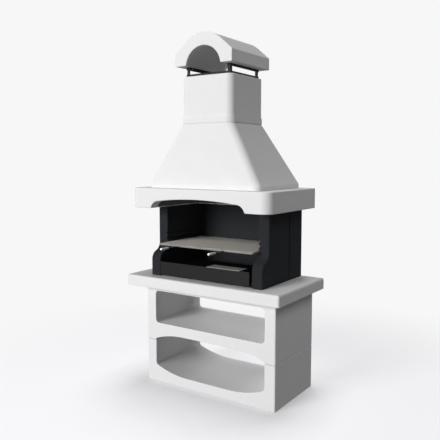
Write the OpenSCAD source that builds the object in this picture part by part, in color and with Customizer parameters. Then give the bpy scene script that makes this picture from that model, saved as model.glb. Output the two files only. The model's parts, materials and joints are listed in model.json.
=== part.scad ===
// Concrete garden barbecue: two plinth blocks, a worktop, a dark firebox with a sliding grill and a
// sliding ember tray, and a hood with its chimney and cap.
// X runs to the right, the front looks along -Y, Z is up. The origin lies on the ground under the
// middle of the worktop.

/* [Plinth] */
// Width of both plinth blocks
plinth_w = 919; // [840:1:980]
// Depth of both plinth blocks
plinth_d = 467; // [420:1:500]
// Distance from the worktop's rear face to the plinth's
plinth_back = 1; // [0:1:20]
// Thickness of the plinth's side walls
plinth_wall = 69; // [50:1:85]
// Height of the lower block
lower_h = 264; // [230:2:320]
// Thickness of the lower block's floor at its flat middle
floor_t = 61; // [45:1:75]
// Half width of the floor's flat middle
floor_flat = 150; // [100:5:200]
// Rise of the hollow floor from its flat middle to the side walls
floor_rise = 49; // [30:1:60]
// Height of the upper block
upper_h = 354; // [320:2:440]
// Height of the shelf above the upper block's underside
shelf_h = 112; // [90:1:140]
// Rise of the flat arch under the shelf
arch_rise = 47; // [35:1:60]
// Half width of the arch's flat middle
arch_flat = 184; // [120:2:220]
// Height at which the arch leaves the side walls
arch_foot = 10; // [0:1:20]
// Thickness of the upper block's top
upper_top_t = 39; // [20:1:50]
// Radius in the corners of the upper opening
opening_r = 24; // [10:1:40]
// Radius where the hollow floor meets the side walls
floor_fillet = 22; // [8:1:40]
// Radius of the plinth's upright corners
plinth_corner_r = 8; // [4:1:16]

/* [Worktop] */
// Width of the worktop
top_w = 1067; // [1000:1:1200]
// Depth of the worktop
top_d = 570; // [520:5:640]
// Thickness of the worktop
top_t = 65; // [50:1:80]
// Radius of the worktop's upright corners
top_corner_r = 12; // [8:1:50]
// Radius along the worktop's upper edge
top_edge_r = 12; // [6:1:20]

/* [Firebox] */
// Outer width of the firebox
fire_w = 790; // [700:2:820]
// Height of the firebox walls
fire_h = 416; // [390:2:480]
// Thickness of the firebox side walls
fire_wall = 70; // [55:1:75]
// Distance from the worktop's front to the walls' foot
fire_front = 70; // [60:1:100]
// Depth of the side walls at their foot
side_d = 311; // [280:1:330]
// How far the walls step back above the tray
step_back = 74; // [40:1:80]
// Height of the step's start above the walls' foot
step_z = 93; // [85:1:100]
// Height of the curved step
step_h = 104; // [95:1:140]
// Radius of the walls' outer front edges
side_edge_r = 12; // [8:1:28]
// Radius of the walls' inner front edges
inner_edge_r = 6; // [3:1:10]
// Depth of the back piece from its wings' fronts to its rear face
back_d = 162; // [130:1:180]
// Thickness of the back piece
back_t = 28; // [20:1:40]
// Thickness of the back piece's wings
wing_t = 62; // [50:1:66]
// Radius of the back piece's front edges beside the seams
seam_edge_r = 0.5; // [0.5:0.5:3]
// Radius of the back piece's rear corners
back_corner_r = 10; // [5:1:20]
// Thickness of the loose hearth slab
hearth_t = 30; // [20:1:40]
// Distance from the walls' foot back to the hearth slab's front
hearth_back = 18; // [12:1:30]

/* [Rack] */
// Number of rack grooves in each side wall
rack_count = 4; // [3:1:5]
// Height of the lowest groove's floor above the walls' foot
rack_z = 154; // [145:1:160]
// Distance from groove to groove
rack_pitch = 32; // [28:1:36]
// Height of a groove
rack_h = 11; // [10:1:18]
// Depth of a groove
rack_cut = 8; // [7:1:12]

/* [Grill] */
// Number of grooves from the lowest up to the one that holds the grill
groove_count = 2; // [1:1:3]
// Gap at each side between the grill's frame and the groove's root
grill_side_gap = 3; // [2:1:6]
// Depth of the grill's frame
grill_d = 428; // [400:2:430]
// Diameter of the grill frame's rod
frame_rod = 8; // [6:0.5:9]
// Inner bend radius in the grill frame's corners
frame_bend = 6; // [4:1:20]
// Diameter of the cooking bars
bar_rod = 5; // [4:0.5:6]
// Distance from bar to bar
bar_pitch = 14.5; // [13:0.5:20]
// Number of cross bars under the cooking bars
cross_count = 2; // [1:1:3]
// Number of bar gaps from the middle to the left handle
left_gap_count = 13; // [8:1:16]
// Number of bar gaps from the middle to the right handle
right_gap_count = 9; // [6:1:16]
// How far the handles reach in front of the grill
handle_reach = 141; // [110:1:160]
// Diameter of the handle rod
handle_rod = 7; // [6:0.5:8]
// Diameter of the handle grips
grip_d = 14; // [12:0.5:18]
// Length of the handle grips
grip_l = 60; // [30:1:80]

/* [Ember tray] */
// Gap between the tray and the left side wall
tray_left_gap = 1; // [0.5:0.5:6]
// Gap between the tray and the right side wall
tray_right_gap = 15; // [5:1:40]
// Height of the tray's front panel
panel_h = 80; // [75:1:95]
// Thickness of the tray's front panel
panel_t = 5; // [3:0.5:8]
// Gap between the front panel and the worktop
panel_gap = 9; // [2:0.5:12]
// Depth of the pan behind the panel
pan_d = 372; // [340:2:380]
// Height of the pan's rims
pan_h = 24; // [18:1:30]
// Thickness of the pan's sheet
sheet = 2; // [1.5:0.5:3]
// Distance from the panel's left end to the shelf
shelf_x = 342; // [320:1:350]
// Width of the flat shelf behind the panel
shelf_w = 228; // [200:1:260]
// Depth of the flat shelf
shelf_d = 82; // [70:1:100]
// Gap between the ember grate and the pan's rims
grate_gap = 6; // [3:1:12]
// Distance from the ember grate's front and rear to its cross feet
grate_foot_in = 20; // [10:1:60]
// Width of one bar of the ember grate
grate_bar = 9; // [7:0.5:11]
// Distance from bar to bar of the ember grate
grate_pitch = 24; // [22:1:30]
// Height of the ember grate's bars
grate_h = 14; // [10:1:18]
// Height of the ember grate's feet
grate_foot = 8; // [5:1:12]

/* [Hood] */
// Width of the rim
rim_w = 960; // [900:2:990]
// How far the rim stands out in front of the worktop
rim_over = 11; // [0:1:20]
// Depth of the rim
rim_d = 557; // [540:1:580]
// Height of the rim
rim_h = 118; // [100:1:150]
// Radius of the rim's front corners
rim_front_r = 58; // [30:1:80]
// Radius of the rim's rear corners
rim_rear_r = 14; // [8:1:30]
// Thickness of the rim's front beam
rim_front_t = 66; // [60:1:80]
// Thickness of the rim's rear beam
rim_rear_t = 86; // [60:1:100]
// Rise of the front arch above the rim's underside
rim_arch_h = 60; // [50:1:62]
// Height of the crown's own curve
rim_crown_rise = 16; // [12:1:20]
// Width of the arch's round haunches
rim_haunch_w = 55; // [50:1:80]
// Width of the hood at its foot
hood_w = 768; // [740:2:800]
// Depth of the hood at its foot
hood_d = 505; // [460:1:507]
// Distance from the rim's front to the hood's foot
hood_front = 50; // [40:1:52]
// Height of the upright band at the hood's foot
hood_skirt = 22; // [12:1:40]
// Height of the sloping part of the hood
hood_slope_h = 354; // [300:2:420]
// Height of the hood's neck
neck_h = 34; // [20:1:45]
// How far the neck stands proud of the chimney
neck_lip = 5; // [1:0.5:8]
// Wall thickness of the hood
hood_wall = 36; // [28:1:45]
// Radius of the hood's corners at its foot
hood_corner_r = 43; // [38:1:60]

/* [Chimney] */
// Width of the chimney block
chimney_w = 349; // [320:1:370]
// Depth of the chimney block
chimney_d = 352; // [320:1:370]
// Height of the chimney block
chimney_h = 230; // [150:2:400]
// Wall thickness of the chimney block
chimney_wall = 50; // [46:1:56]
// Radius of the chimney's upright edges
chimney_corner_r = 40; // [30:1:46]
// Distance from the hood's foot front to the chimney's front
chimney_front = 59; // [40:1:70]

/* [Chimney cap] */
// Distance from the chimney's faces to the cap frame
cap_frame_inset = 22; // [16:1:26]
// Height of the cap frame
cap_frame_h = 56; // [45:1:80]
// Width of the frame's angle and post legs
angle_leg = 20; // [18:1:22]
// Height of the frame rails' upright legs
rail_drop = 15; // [10:1:18]
// Thickness of the frame's steel
angle_t = 3; // [2:0.5:4]
// Diameter of the frame's screws
screw_d = 6; // [5:0.5:7]
// Length of the frame's screws below their heads
screw_l = 34; // [25:1:40]
// Distance from the frame's corners to the screws
screw_end = 40; // [30:1:60]
// Distance from the flat legs' inner edge to the screws
screw_back = 7; // [6:0.5:9]
// Width of the cap
cap_w = 390; // [370:1:400]
// Depth of the cap
cap_d = 413; // [380:1:450]
// Height of the cap's upright sides
cap_side_h = 68; // [50:1:90]
// Radius of the cap's crown
cap_crown_r = 185; // [170:1:190]
// Slope of the cap's flanks
cap_slope = 40.5; // [36:0.5:45]
// Radius of the smoke tunnel through the cap
tunnel_r = 119; // [105:1:125]
// How far the tunnel's axis lies under the cap's underside
tunnel_drop = 15; // [0:1:25]

/* [Joints] */
// Thickness of the mortar beds
bed = 2; // [1:0.5:4]
// How far the beds stay back from the faces
bed_back = 4; // [2:1:6]
// Gap between pieces that slide or lie on each other
fit = 0.3; // [0.2:0.05:0.5]

/* [Hidden] */
$fn = 96;
// Overshoot of a cut past the face that it opens
cut = 1;

WHITE = "#ecebe8";
DARK = "#34373a";
MORTAR = "#b9b8b4";
STEEL = "#9a938a";
BRIGHT = "#cfcfcb";
BLACK = "#26282a";

top_front = -top_d / 2;
top_back = top_d / 2;

// Heights from the ground up
upper_z = lower_h + bed;
top_z = upper_z + upper_h + bed;
slab_z = top_z + top_t;
wall_z = slab_z + bed;
rim_z = wall_z + fire_h + bed;
hood_z = rim_z + rim_h + bed;
slope_z = hood_z + hood_skirt;
neck_z = slope_z + hood_slope_h;
chimney_z = neck_z + neck_h + bed;
frame_z = chimney_z + chimney_h;
cap_z = frame_z + cap_frame_h;

// The plinth's rear face lies just inside the worktop's
plinth_y = top_back - plinth_back - plinth_d / 2;
plinth_in_w = plinth_w - 2 * plinth_wall;

// Firebox: the walls' front face, the seam to the back piece and the rear face
foot_y = top_front + fire_front;
step_y = foot_y + step_back;
seam_y = foot_y + side_d;
wing_y = seam_y + bed;
fire_back_y = wing_y + back_d;
fire_in_x = fire_w / 2 - fire_wall;
wing_in_x = fire_w / 2 - wing_t;
hearth_y = foot_y + hearth_back;
hearth_top = slab_z + hearth_t;
// The step is two equal arcs, one round and one hollow, that meet halfway
step_r = (step_h * step_h + step_back * step_back) / (4 * step_back);
step_mid = step_z + step_h / 2;
// Straight pieces that the walls' round edges and the curved step are made of
inner_steps = 3;
outer_steps = 8;
step_rings = 12;

// Grill: the frame lies in the grooves, the bars lie on the frame
grill_w = 2 * (fire_in_x + rack_cut - grill_side_gap);
grill_rest = wall_z + rack_z + (groove_count - 1) * rack_pitch + fit;
frame_axis_z = grill_rest + frame_rod / 2;
bar_axis_z = frame_axis_z + frame_rod / 2 + bar_rod / 2 + fit;
grill_front = foot_y;
grill_x = grill_w / 2 - frame_rod / 2;
grill_y0 = grill_front + frame_rod / 2;
grill_y1 = grill_front + grill_d - frame_rod / 2;
bars_w = 2 * (fire_in_x - fit) - bar_rod - 2 * grill_side_gap;
bar_n = floor(bars_w / bar_pitch);
// The handles end at the frame's front, in line with gaps between bars; an even count has no middle gap
handle_y = grill_front - handle_reach;
gap_shift = bar_n % 2 == 0 ? 0.5 : 0;
left_handle_x = -(left_gap_count + gap_shift) * bar_pitch;
right_handle_x = (right_gap_count + gap_shift) * bar_pitch;

// Ember tray
tray_x0 = -fire_in_x + tray_left_gap;
tray_w = 2 * fire_in_x - tray_left_gap - tray_right_gap;
panel_z = slab_z + panel_gap;
panel_y = foot_y;
pan_y = panel_y + panel_t;
pan_z = hearth_top + fit;
shelf_x0 = tray_x0 + shelf_x;
shelf_z = panel_z + panel_h;
grate_y0 = pan_y + shelf_d + grate_gap;
grate_y1 = pan_y + pan_d - sheet - grate_gap;
grate_x0 = tray_x0 + sheet + grate_gap;
grate_w = tray_w - 2 * (sheet + grate_gap);
grate_n = floor((grate_w - grate_bar) / grate_pitch);
grate_z = pan_z + sheet + fit;

// Hood: the rim covers the worktop, the chimney stands over the hood's foot
rim_y0 = top_front - rim_over;
rim_y1 = rim_y0 + rim_d;
hood_y0 = rim_y0 + hood_front;
hood_y = hood_y0 + hood_d / 2;
chimney_y = hood_y0 + chimney_front + chimney_d / 2;
neck_w = chimney_w + 2 * neck_lip;
neck_d = chimney_d + 2 * neck_lip;
flue_w = chimney_w - 2 * chimney_wall;
flue_d = chimney_d - 2 * chimney_wall;
rim_in_y0 = rim_y0 + rim_front_t;
rim_in_y1 = rim_y1 - rim_rear_t;
// The arch's round haunches end upright on the side walls' inner faces
rim_crown = fire_in_x - rim_haunch_w;
haunch_z = rim_arch_h - rim_crown_rise;
rim_haunch_r = (rim_haunch_w * rim_haunch_w + haunch_z * haunch_z) / (2 * haunch_z);

// Chimney cap: the frame's outer size, and the crown that the flanks lead to
frame_w = chimney_w - 2 * cap_frame_inset;
frame_d = chimney_d - 2 * cap_frame_inset;
post_h = cap_frame_h - 2 * angle_t;
screw_x = frame_w / 2 - screw_end;
screw_y = frame_d / 2 - angle_leg + screw_back;
screw_head_d = 2 * screw_d;
screw_head_h = screw_d / 2;
cap_tangent_x = cap_crown_r * sin(cap_slope);
cap_crown_drop = cap_crown_r * (1 - cos(cap_slope));
cap_rise = cap_crown_drop + (cap_w / 2 - cap_tangent_x) * tan(cap_slope);
cap_h = cap_side_h + cap_rise;

// A rectangle with round corners, centred
module round_rect(w, d, r) {
    square([w - 2 * r, d], center = true);
    square([w, d - 2 * r], center = true);
    for (x = [-1, 1], y = [-1, 1]) {
        translate([x * (w / 2 - r), y * (d / 2 - r)]) circle(r);
    }
}

// A rectangle with its front corners of one radius and its rear corners of another
module two_radius_rect(w, d, front_r, rear_r) {
    union() {
        square([w - 2 * max(front_r, rear_r), d], center = true);
        translate([-w / 2, front_r - d / 2]) square([w, d - front_r - rear_r]);
        for (x = [-1, 1]) {
            translate([x * (w / 2 - front_r), front_r - d / 2]) circle(front_r);
            translate([x * (w / 2 - rear_r), d / 2 - rear_r]) circle(rear_r);
        }
        translate([rear_r - w / 2, 0]) square([w - 2 * rear_r, d / 2]);
    }
}

// A rectangle that stands on the axis, with its two upper corners round
module top_round(w, h, r) {
    translate([-w / 2, 0]) square([w, h - r]);
    translate([r - w / 2, 0]) square([w - 2 * r, h]);
    for (s = [-1, 1]) translate([s * (w / 2 - r), h - r]) circle(r);
}

// A block with round upright corners and a round upper edge, standing on z = 0
module soft_block(w, d, h, corner_r, edge_r) {
    intersection() {
        linear_extrude(h) round_rect(w, d, corner_r);
        front_view(-d / 2 - cut, d / 2 + cut) top_round(w, h, edge_r);
        side_view(-w / 2 - cut, w / 2 + cut) top_round(d, h, edge_r);
    }
}

// Stands a front view, drawn in X and Z, up as a solid from y0 to y1
module front_view(y0, y1) {
    translate([0, y1, 0]) rotate([90, 0, 0]) linear_extrude(y1 - y0) children();
}

// Stands a side view, drawn in Y and Z, up as a solid from x0 to x1
module side_view(x0, x1) {
    translate([x0, 0, 0]) rotate([90, 0, 90]) linear_extrude(x1 - x0) children();
}

// The rod of one straight run along X or Y, between two points of one height
module rod_x(x0, x1, y, z, d) {
    translate([x0, y, z]) rotate([0, 90, 0]) cylinder(h = x1 - x0, d = d);
}

module rod_y(y0, y1, x, z, d) {
    translate([x, y1, z]) rotate([90, 0, 0]) cylinder(h = y1 - y0, d = d);
}

// Plinth
module lower_plinth() {
    // The radius of the curved sides, the fillets' centres and the point where curve and fillet meet
    side_w = plinth_in_w / 2 - floor_flat;
    hollow_r = (side_w * side_w + floor_rise * floor_rise) / (2 * floor_rise);
    fillet_x = plinth_in_w / 2 - floor_fillet;
    fillet_z = floor_t + hollow_r - sqrt(pow(hollow_r - floor_fillet, 2) - pow(fillet_x - floor_flat, 2));
    meet_x = floor_flat + (fillet_x - floor_flat) * hollow_r / (hollow_r - floor_fillet);
    color(WHITE) difference() {
        translate([0, plinth_y, 0]) linear_extrude(lower_h)
            round_rect(plinth_w, plinth_d, plinth_corner_r);
        front_view(plinth_y - plinth_d / 2 - cut, plinth_y + plinth_d / 2 + cut) {
            for (s = [0, 1]) mirror([s, 0]) {
                intersection() {
                    translate([floor_flat, floor_t + hollow_r]) circle(hollow_r, $fn = 720);
                    square([meet_x, fillet_z]);
                }
                translate([fillet_x, fillet_z]) circle(floor_fillet);
            }
            translate([-floor_flat, floor_t]) square([2 * floor_flat, fillet_z - floor_t]);
            translate([-plinth_in_w / 2, fillet_z]) square([plinth_in_w, lower_h - fillet_z + cut]);
        }
    }
}

module plinth_mortar() {
    strip = plinth_wall - 2 * bed_back;
    color(MORTAR) for (s = [-1, 1]) {
        translate([s * (plinth_w - plinth_wall) / 2, plinth_y, lower_h + bed / 2])
            cube([strip, plinth_d - 2 * bed_back, bed], center = true);
    }
}

module upper_plinth() {
    arch_w = plinth_in_w / 2 - arch_flat;
    arch_drop = arch_rise - arch_foot;
    arch_r = (arch_w * arch_w + arch_drop * arch_drop) / (2 * arch_drop);
    open_h = upper_h - shelf_h - upper_top_t;
    color(WHITE) translate([0, 0, upper_z]) difference() {
        translate([0, plinth_y, 0]) linear_extrude(upper_h)
            round_rect(plinth_w, plinth_d, plinth_corner_r);
        front_view(plinth_y - plinth_d / 2 - cut, plinth_y + plinth_d / 2 + cut) {
            translate([0, shelf_h + open_h / 2]) round_rect(plinth_in_w, open_h, opening_r);
            for (s = [0, 1]) mirror([s, 0]) intersection() {
                translate([arch_flat, arch_rise - arch_r]) circle(arch_r, $fn = 720);
                translate([0, -cut]) square([plinth_in_w / 2, arch_rise + 2 * cut]);
            }
            translate([-arch_flat, -cut]) square([2 * arch_flat, arch_rise + cut]);
        }
    }
}

module worktop_mortar() {
    color(MORTAR) translate([0, plinth_y, upper_z + upper_h + bed / 2])
        cube([plinth_w - 2 * bed_back, plinth_d - 2 * bed_back, bed], center = true);
}

module worktop() {
    color(WHITE) translate([0, 0, top_z]) soft_block(top_w, top_d, top_t, top_corner_r, top_edge_r);
}

// Firebox
module hearth_slab() {
    color(DARK) translate([fit - fire_in_x, hearth_y, slab_z])
        cube([2 * (fire_in_x - fit), fire_back_y - back_t - fit - hearth_y, hearth_t]);
}

// The footprint of the walls and the back piece, drawn in by the given distance from their faces
module firebox_foot(back, side_front) {
    for (s = [0, 1]) mirror([s, 0]) {
        translate([fire_in_x + back, side_front + back])
            square([fire_wall - 2 * back, seam_y - side_front - 2 * back]);
        translate([wing_in_x + back, wing_y + back])
            square([wing_t - 2 * back, fire_back_y - wing_y - 2 * back]);
    }
    translate([-wing_in_x - back, fire_back_y - back_t + back])
        square([2 * (wing_in_x + back), back_t - 2 * back]);
}

module firebox_mortar() {
    color(MORTAR) translate([0, 0, slab_z]) linear_extrude(bed) firebox_foot(bed_back, foot_y);
}

// The front face's place at a height above the foot: upright, round, hollow and upright again
function front_at(h) =
    h <= step_z ? foot_y :
    h <= step_mid ? foot_y + step_r - sqrt(step_r * step_r - pow(h - step_z, 2)) :
    h <= step_z + step_h ? step_y - step_r + sqrt(step_r * step_r - pow(step_z + step_h - h, 2)) :
    step_y;

// Plan of the right-hand side wall with its front face at y: rear corners, then both front edges
function wall_plan(y) = concat(
    [[fire_w / 2, seam_y], [fire_in_x, seam_y]],
    [for (i = [0 : inner_steps]) let (a = 180 + 90 * i / inner_steps)
        [fire_in_x + inner_edge_r * (1 + cos(a)), y + inner_edge_r * (1 + sin(a))]],
    [for (i = [0 : outer_steps]) let (a = 270 + 90 * i / outer_steps)
        [fire_w / 2 - side_edge_r * (1 - cos(a)), y + side_edge_r * (1 + sin(a))]]
);

// The right-hand side wall, standing on z = 0, with its rack grooves open to the front
module side_wall() {
    heights = concat([0], [for (i = [0 : step_rings]) step_z + i * step_h / step_rings], [fire_h]);
    plans = [for (h = heights) wall_plan(front_at(h))];
    n = len(plans[0]);
    top = len(heights) - 1;
    points = [for (k = [0 : top]) for (p = plans[k]) [p[0], p[1], heights[k]]];
    sides = [for (k = [0 : top - 1]) for (i = [0 : n - 1]) let (a = k * n + i, b = k * n + (i + 1) % n)
        for (f = [[a, a + n, b], [b, a + n, b + n]]) f];
    ends = [[for (i = [0 : n - 1]) i], [for (i = [0 : n - 1]) top * n + n - 1 - i]];
    difference() {
        polyhedron(points, concat(sides, ends));
        for (i = [0 : rack_count - 1]) {
            translate([fire_in_x - cut, foot_y - cut, rack_z + i * rack_pitch])
                cube([rack_cut + cut, side_d + 2 * cut, rack_h]);
        }
    }
}

module left_side_wall() {
    color(DARK) translate([0, 0, wall_z]) mirror([1, 0, 0]) side_wall();
}

module right_side_wall() {
    color(DARK) translate([0, 0, wall_z]) side_wall();
}

module wall_seam_mortar() {
    color(MORTAR) for (s = [0, 1]) mirror([s, 0, 0]) {
        translate([wing_in_x + bed_back, seam_y, wall_z]) cube([wing_t - 2 * bed_back, bed, fire_h]);
    }
}

module firebox_back() {
    color(DARK) translate([0, 0, wall_z]) linear_extrude(fire_h) difference() {
        translate([0, wing_y + back_d / 2]) two_radius_rect(fire_w, back_d, seam_edge_r, back_corner_r);
        translate([-wing_in_x, wing_y - cut]) square([2 * wing_in_x, back_d - back_t + cut]);
    }
}

module rim_mortar() {
    color(MORTAR) translate([0, 0, wall_z + fire_h]) linear_extrude(bed)
        firebox_foot(bed_back, step_y + side_edge_r);
}

// Hood
module hood_rim() {
    crown_r = (rim_crown * rim_crown + rim_crown_rise * rim_crown_rise) / (2 * rim_crown_rise);
    color(WHITE) translate([0, 0, rim_z]) difference() {
        translate([0, rim_y0 + rim_d / 2]) linear_extrude(rim_h)
            two_radius_rect(rim_w, rim_d, rim_front_r, rim_rear_r);
        translate([-fire_in_x, rim_in_y0, -cut])
            cube([2 * fire_in_x, rim_in_y1 - rim_in_y0, rim_h + 2 * cut]);
        front_view(rim_y0 - cut, rim_in_y0 + cut) {
            intersection() {
                translate([0, rim_arch_h - crown_r]) circle(crown_r, $fn = 720);
                translate([-rim_crown, -cut]) square([2 * rim_crown, rim_arch_h + 2 * cut]);
            }
            intersection() {
                for (s = [-1, 1]) translate([s * rim_crown, haunch_z - rim_haunch_r]) circle(rim_haunch_r);
                translate([-rim_w / 2, -cut]) square([rim_w, haunch_z + 2 * cut]);
            }
        }
    }
}

module hood_mortar() {
    color(MORTAR) translate([0, hood_y, hood_z - bed]) linear_extrude(bed) difference() {
        round_rect(hood_w - 2 * bed_back, hood_d - 2 * bed_back, hood_corner_r - bed_back);
        square([hood_w - 2 * hood_wall + 2 * bed_back, hood_d - 2 * hood_wall + 2 * bed_back],
            center = true);
    }
}

// The hood's outer or inner skin: upright at the foot, then a slope up to the neck
module hood_skin(wall) {
    foot_r = hood_corner_r - wall;
    neck_r = max(chimney_corner_r + neck_lip - wall, 2);
    hull() {
        translate([0, hood_y, slope_z]) linear_extrude(0.01)
            round_rect(hood_w - 2 * wall, hood_d - 2 * wall, foot_r, $fn = 48);
        translate([0, chimney_y, neck_z - 0.01]) linear_extrude(0.01)
            round_rect(neck_w - 2 * wall, neck_d - 2 * wall, neck_r, $fn = 48);
    }
}

module hood() {
    color(WHITE) difference() {
        union() {
            hood_skin(0);
            translate([0, hood_y, hood_z]) linear_extrude(hood_skirt)
                round_rect(hood_w, hood_d, hood_corner_r, $fn = 48);
            translate([0, chimney_y, neck_z - cut]) linear_extrude(neck_h + cut)
                round_rect(neck_w, neck_d, chimney_corner_r + neck_lip, $fn = 48);
        }
        hood_skin(hood_wall);
        translate([0, hood_y, hood_z - cut]) linear_extrude(hood_skirt + 2 * cut)
            round_rect(hood_w - 2 * hood_wall, hood_d - 2 * hood_wall, hood_corner_r - hood_wall, $fn = 48);
        translate([0, chimney_y, neck_z - 2 * cut]) linear_extrude(neck_h + 3 * cut)
            square([flue_w, flue_d], center = true);
    }
}

module chimney_mortar() {
    color(MORTAR) translate([0, chimney_y, chimney_z - bed]) linear_extrude(bed) difference() {
        round_rect(chimney_w - 2 * bed_back, chimney_d - 2 * bed_back, chimney_corner_r - bed_back);
        square([flue_w + 2 * bed_back, flue_d + 2 * bed_back], center = true);
    }
}

// Places its children at the four screws of the cap frame
module at_screws() {
    for (x = [-1, 1], y = [-1, 1]) translate([x * screw_x, chimney_y + y * screw_y, 0]) children();
}

module chimney() {
    color(WHITE) difference() {
        translate([0, chimney_y, chimney_z]) linear_extrude(chimney_h) difference() {
            round_rect(chimney_w, chimney_d, chimney_corner_r);
            square([flue_w, flue_d], center = true);
        }
        at_screws() translate([0, 0, frame_z - screw_l]) cylinder(h = screw_l + cut, d = screw_d + 2 * fit);
    }
}

// The cap frame's ring: flat legs that lie on z = 0 and upright legs round the outside
module frame_ring() {
    difference() {
        cube([frame_w, frame_d, 2 * rail_drop], center = true);
        translate([0, 0, -rail_drop]) cube([frame_w + cut, frame_d + cut, 2 * rail_drop], center = true);
        translate([0, 0, angle_t + rail_drop])
            cube([frame_w - 2 * angle_t, frame_d - 2 * angle_t, 2 * rail_drop], center = true);
        cube([frame_w - 2 * angle_leg, frame_d - 2 * angle_leg, 3 * rail_drop], center = true);
    }
}

module cap_base_frame() {
    color(BLACK) difference() {
        translate([0, chimney_y, frame_z]) frame_ring();
        at_screws() translate([0, 0, frame_z - cut]) cylinder(h = angle_t + 2 * cut, d = screw_d + 2 * fit);
    }
}

// Two angle rails under the cap's side walls, so that the smoke tunnel stays clear
module cap_top_rails() {
    color(BLACK) difference() {
        for (s = [0, 1]) mirror([s, 0, 0]) translate([frame_w / 2 - angle_leg, chimney_y - frame_d / 2, 0])
            difference() {
                translate([0, 0, cap_z - rail_drop]) cube([angle_leg, frame_d, rail_drop]);
                translate([-cut, -cut, cap_z - rail_drop - cut])
                    cube([angle_leg - angle_t + cut, frame_d + 2 * cut, rail_drop - angle_t + cut]);
            }
        top_screws() cylinder(h = angle_t + 2 * cut, d = screw_d + 2 * fit, center = true);
    }
}

module cap_posts() {
    color(BLACK) for (x = [0, 1], y = [0, 1]) {
        translate([0, chimney_y, frame_z + angle_t]) mirror([x, 0, 0]) mirror([0, y, 0])
            translate([frame_w / 2 - angle_t, frame_d / 2 - angle_t, 0]) difference() {
                translate([-angle_leg, -angle_leg, 0]) cube([angle_leg, angle_leg, post_h]);
                translate([-angle_leg - cut, -angle_leg - cut, -cut])
                    cube([angle_leg - angle_t + cut, angle_leg - angle_t + cut, post_h + 2 * cut]);
            }
    }
}

// A pan-head screw with its head's underside on z = 0, pointing down
module screw() {
    cylinder(h = screw_head_h, d = screw_head_d);
    translate([0, 0, fit - screw_l]) cylinder(h = screw_l, d = screw_d);
}

module base_frame_screws() {
    color(STEEL) at_screws() translate([0, 0, frame_z + angle_t]) screw();
}

// Places its children at the top rails' screws, in the cap's side walls, on the flat legs' plane
module top_screws() {
    for (x = [-1, 1], y = [-1, 1])
        translate([x * (frame_w / 2 - angle_leg + screw_back), chimney_y + y * (frame_d / 2 - screw_end),
            cap_z - angle_t / 2]) children();
}

module top_rail_screws() {
    color(STEEL) top_screws() translate([0, 0, -angle_t / 2]) mirror([0, 0, 1]) screw();
}

// Chimney cap
module cap_outline() {
    translate([-cap_w / 2, 0]) square([cap_w, cap_side_h]);
    intersection() {
        translate([0, cap_h - cap_crown_r]) circle(cap_crown_r);
        translate([-cap_tangent_x, 0]) square([2 * cap_tangent_x, cap_h + cut]);
    }
    polygon([
        [-cap_w / 2, cap_side_h],
        [cap_w / 2, cap_side_h],
        [cap_tangent_x, cap_h - cap_crown_drop],
        [-cap_tangent_x, cap_h - cap_crown_drop]
    ]);
}

module chimney_cap() {
    color(WHITE) difference() {
        translate([0, 0, cap_z]) front_view(chimney_y - cap_d / 2, chimney_y + cap_d / 2) difference() {
            cap_outline();
            translate([0, -tunnel_drop]) circle(tunnel_r);
        }
        top_screws() translate([0, 0, angle_t / 2 - cut])
            cylinder(h = screw_l - angle_t + cut, d = screw_d + 2 * fit);
    }
}

// Grill
module grill_frame() {
    bend = frame_bend + frame_rod / 2;
    color(STEEL) {
        for (y = [grill_y0, grill_y1]) rod_x(bend - grill_x, grill_x - bend, y, frame_axis_z, frame_rod);
        for (x = [-grill_x, grill_x]) rod_y(grill_y0 + bend, grill_y1 - bend, x, frame_axis_z, frame_rod);
        for (x = [0, 1], y = [0, 1])
            translate([0, (grill_y0 + grill_y1) / 2, frame_axis_z]) mirror([x, 0, 0]) mirror([0, y, 0])
                translate([grill_x - bend, (grill_y1 - grill_y0) / 2 - bend, 0])
                    rotate_extrude(angle = 90) translate([bend, 0]) circle(d = frame_rod);
    }
}

module grill_bars() {
    color(STEEL) for (i = [0 : bar_n])
        rod_y(grill_front, grill_front + grill_d, (i - bar_n / 2) * bar_pitch, bar_axis_z, bar_rod);
}

module grill_cross_bars() {
    reach = grill_x - frame_rod / 2 - fit;
    spacing = (grill_y1 - grill_y0) / (cross_count + 1);
    color(STEEL) for (i = [1 : cross_count])
        rod_x(-reach, reach, grill_y0 + i * spacing, frame_axis_z, frame_rod);
}

module handle(x) {
    color(STEEL) rod_y(handle_y, grill_front - fit, x, frame_axis_z, handle_rod);
}

module grip(x) {
    color(BRIGHT) difference() {
        union() {
            rod_y(handle_y, handle_y + grip_l, x, frame_axis_z, grip_d);
            translate([x, handle_y, frame_axis_z]) sphere(d = grip_d);
        }
        rod_y(handle_y - fit, handle_y + grip_l + cut, x, frame_axis_z, handle_rod + 2 * fit);
    }
}

module left_handle() {
    handle(left_handle_x);
}

module right_handle() {
    handle(right_handle_x);
}

module left_grip() {
    grip(left_handle_x);
}

module right_grip() {
    grip(right_handle_x);
}

// Ember tray
module tray_panel() {
    color(BLACK) translate([tray_x0, panel_y, panel_z]) cube([tray_w, panel_t, panel_h]);
}

module tray_pan() {
    color(BLACK) translate([tray_x0, pan_y, pan_z]) difference() {
        cube([tray_w, pan_d, pan_h]);
        translate([sheet, sheet, sheet]) cube([tray_w - 2 * sheet, pan_d - 2 * sheet, pan_h]);
    }
}

module tray_shelf() {
    leg_h = shelf_z - pan_z - sheet;
    leg_y = pan_y + shelf_d - sheet;
    color(BRIGHT) {
        translate([shelf_x0, panel_y, shelf_z]) cube([shelf_w, panel_t + shelf_d, sheet]);
        translate([shelf_x0, leg_y, pan_z + sheet]) cube([shelf_w, sheet, leg_h + sheet / 2]);
    }
}

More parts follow.
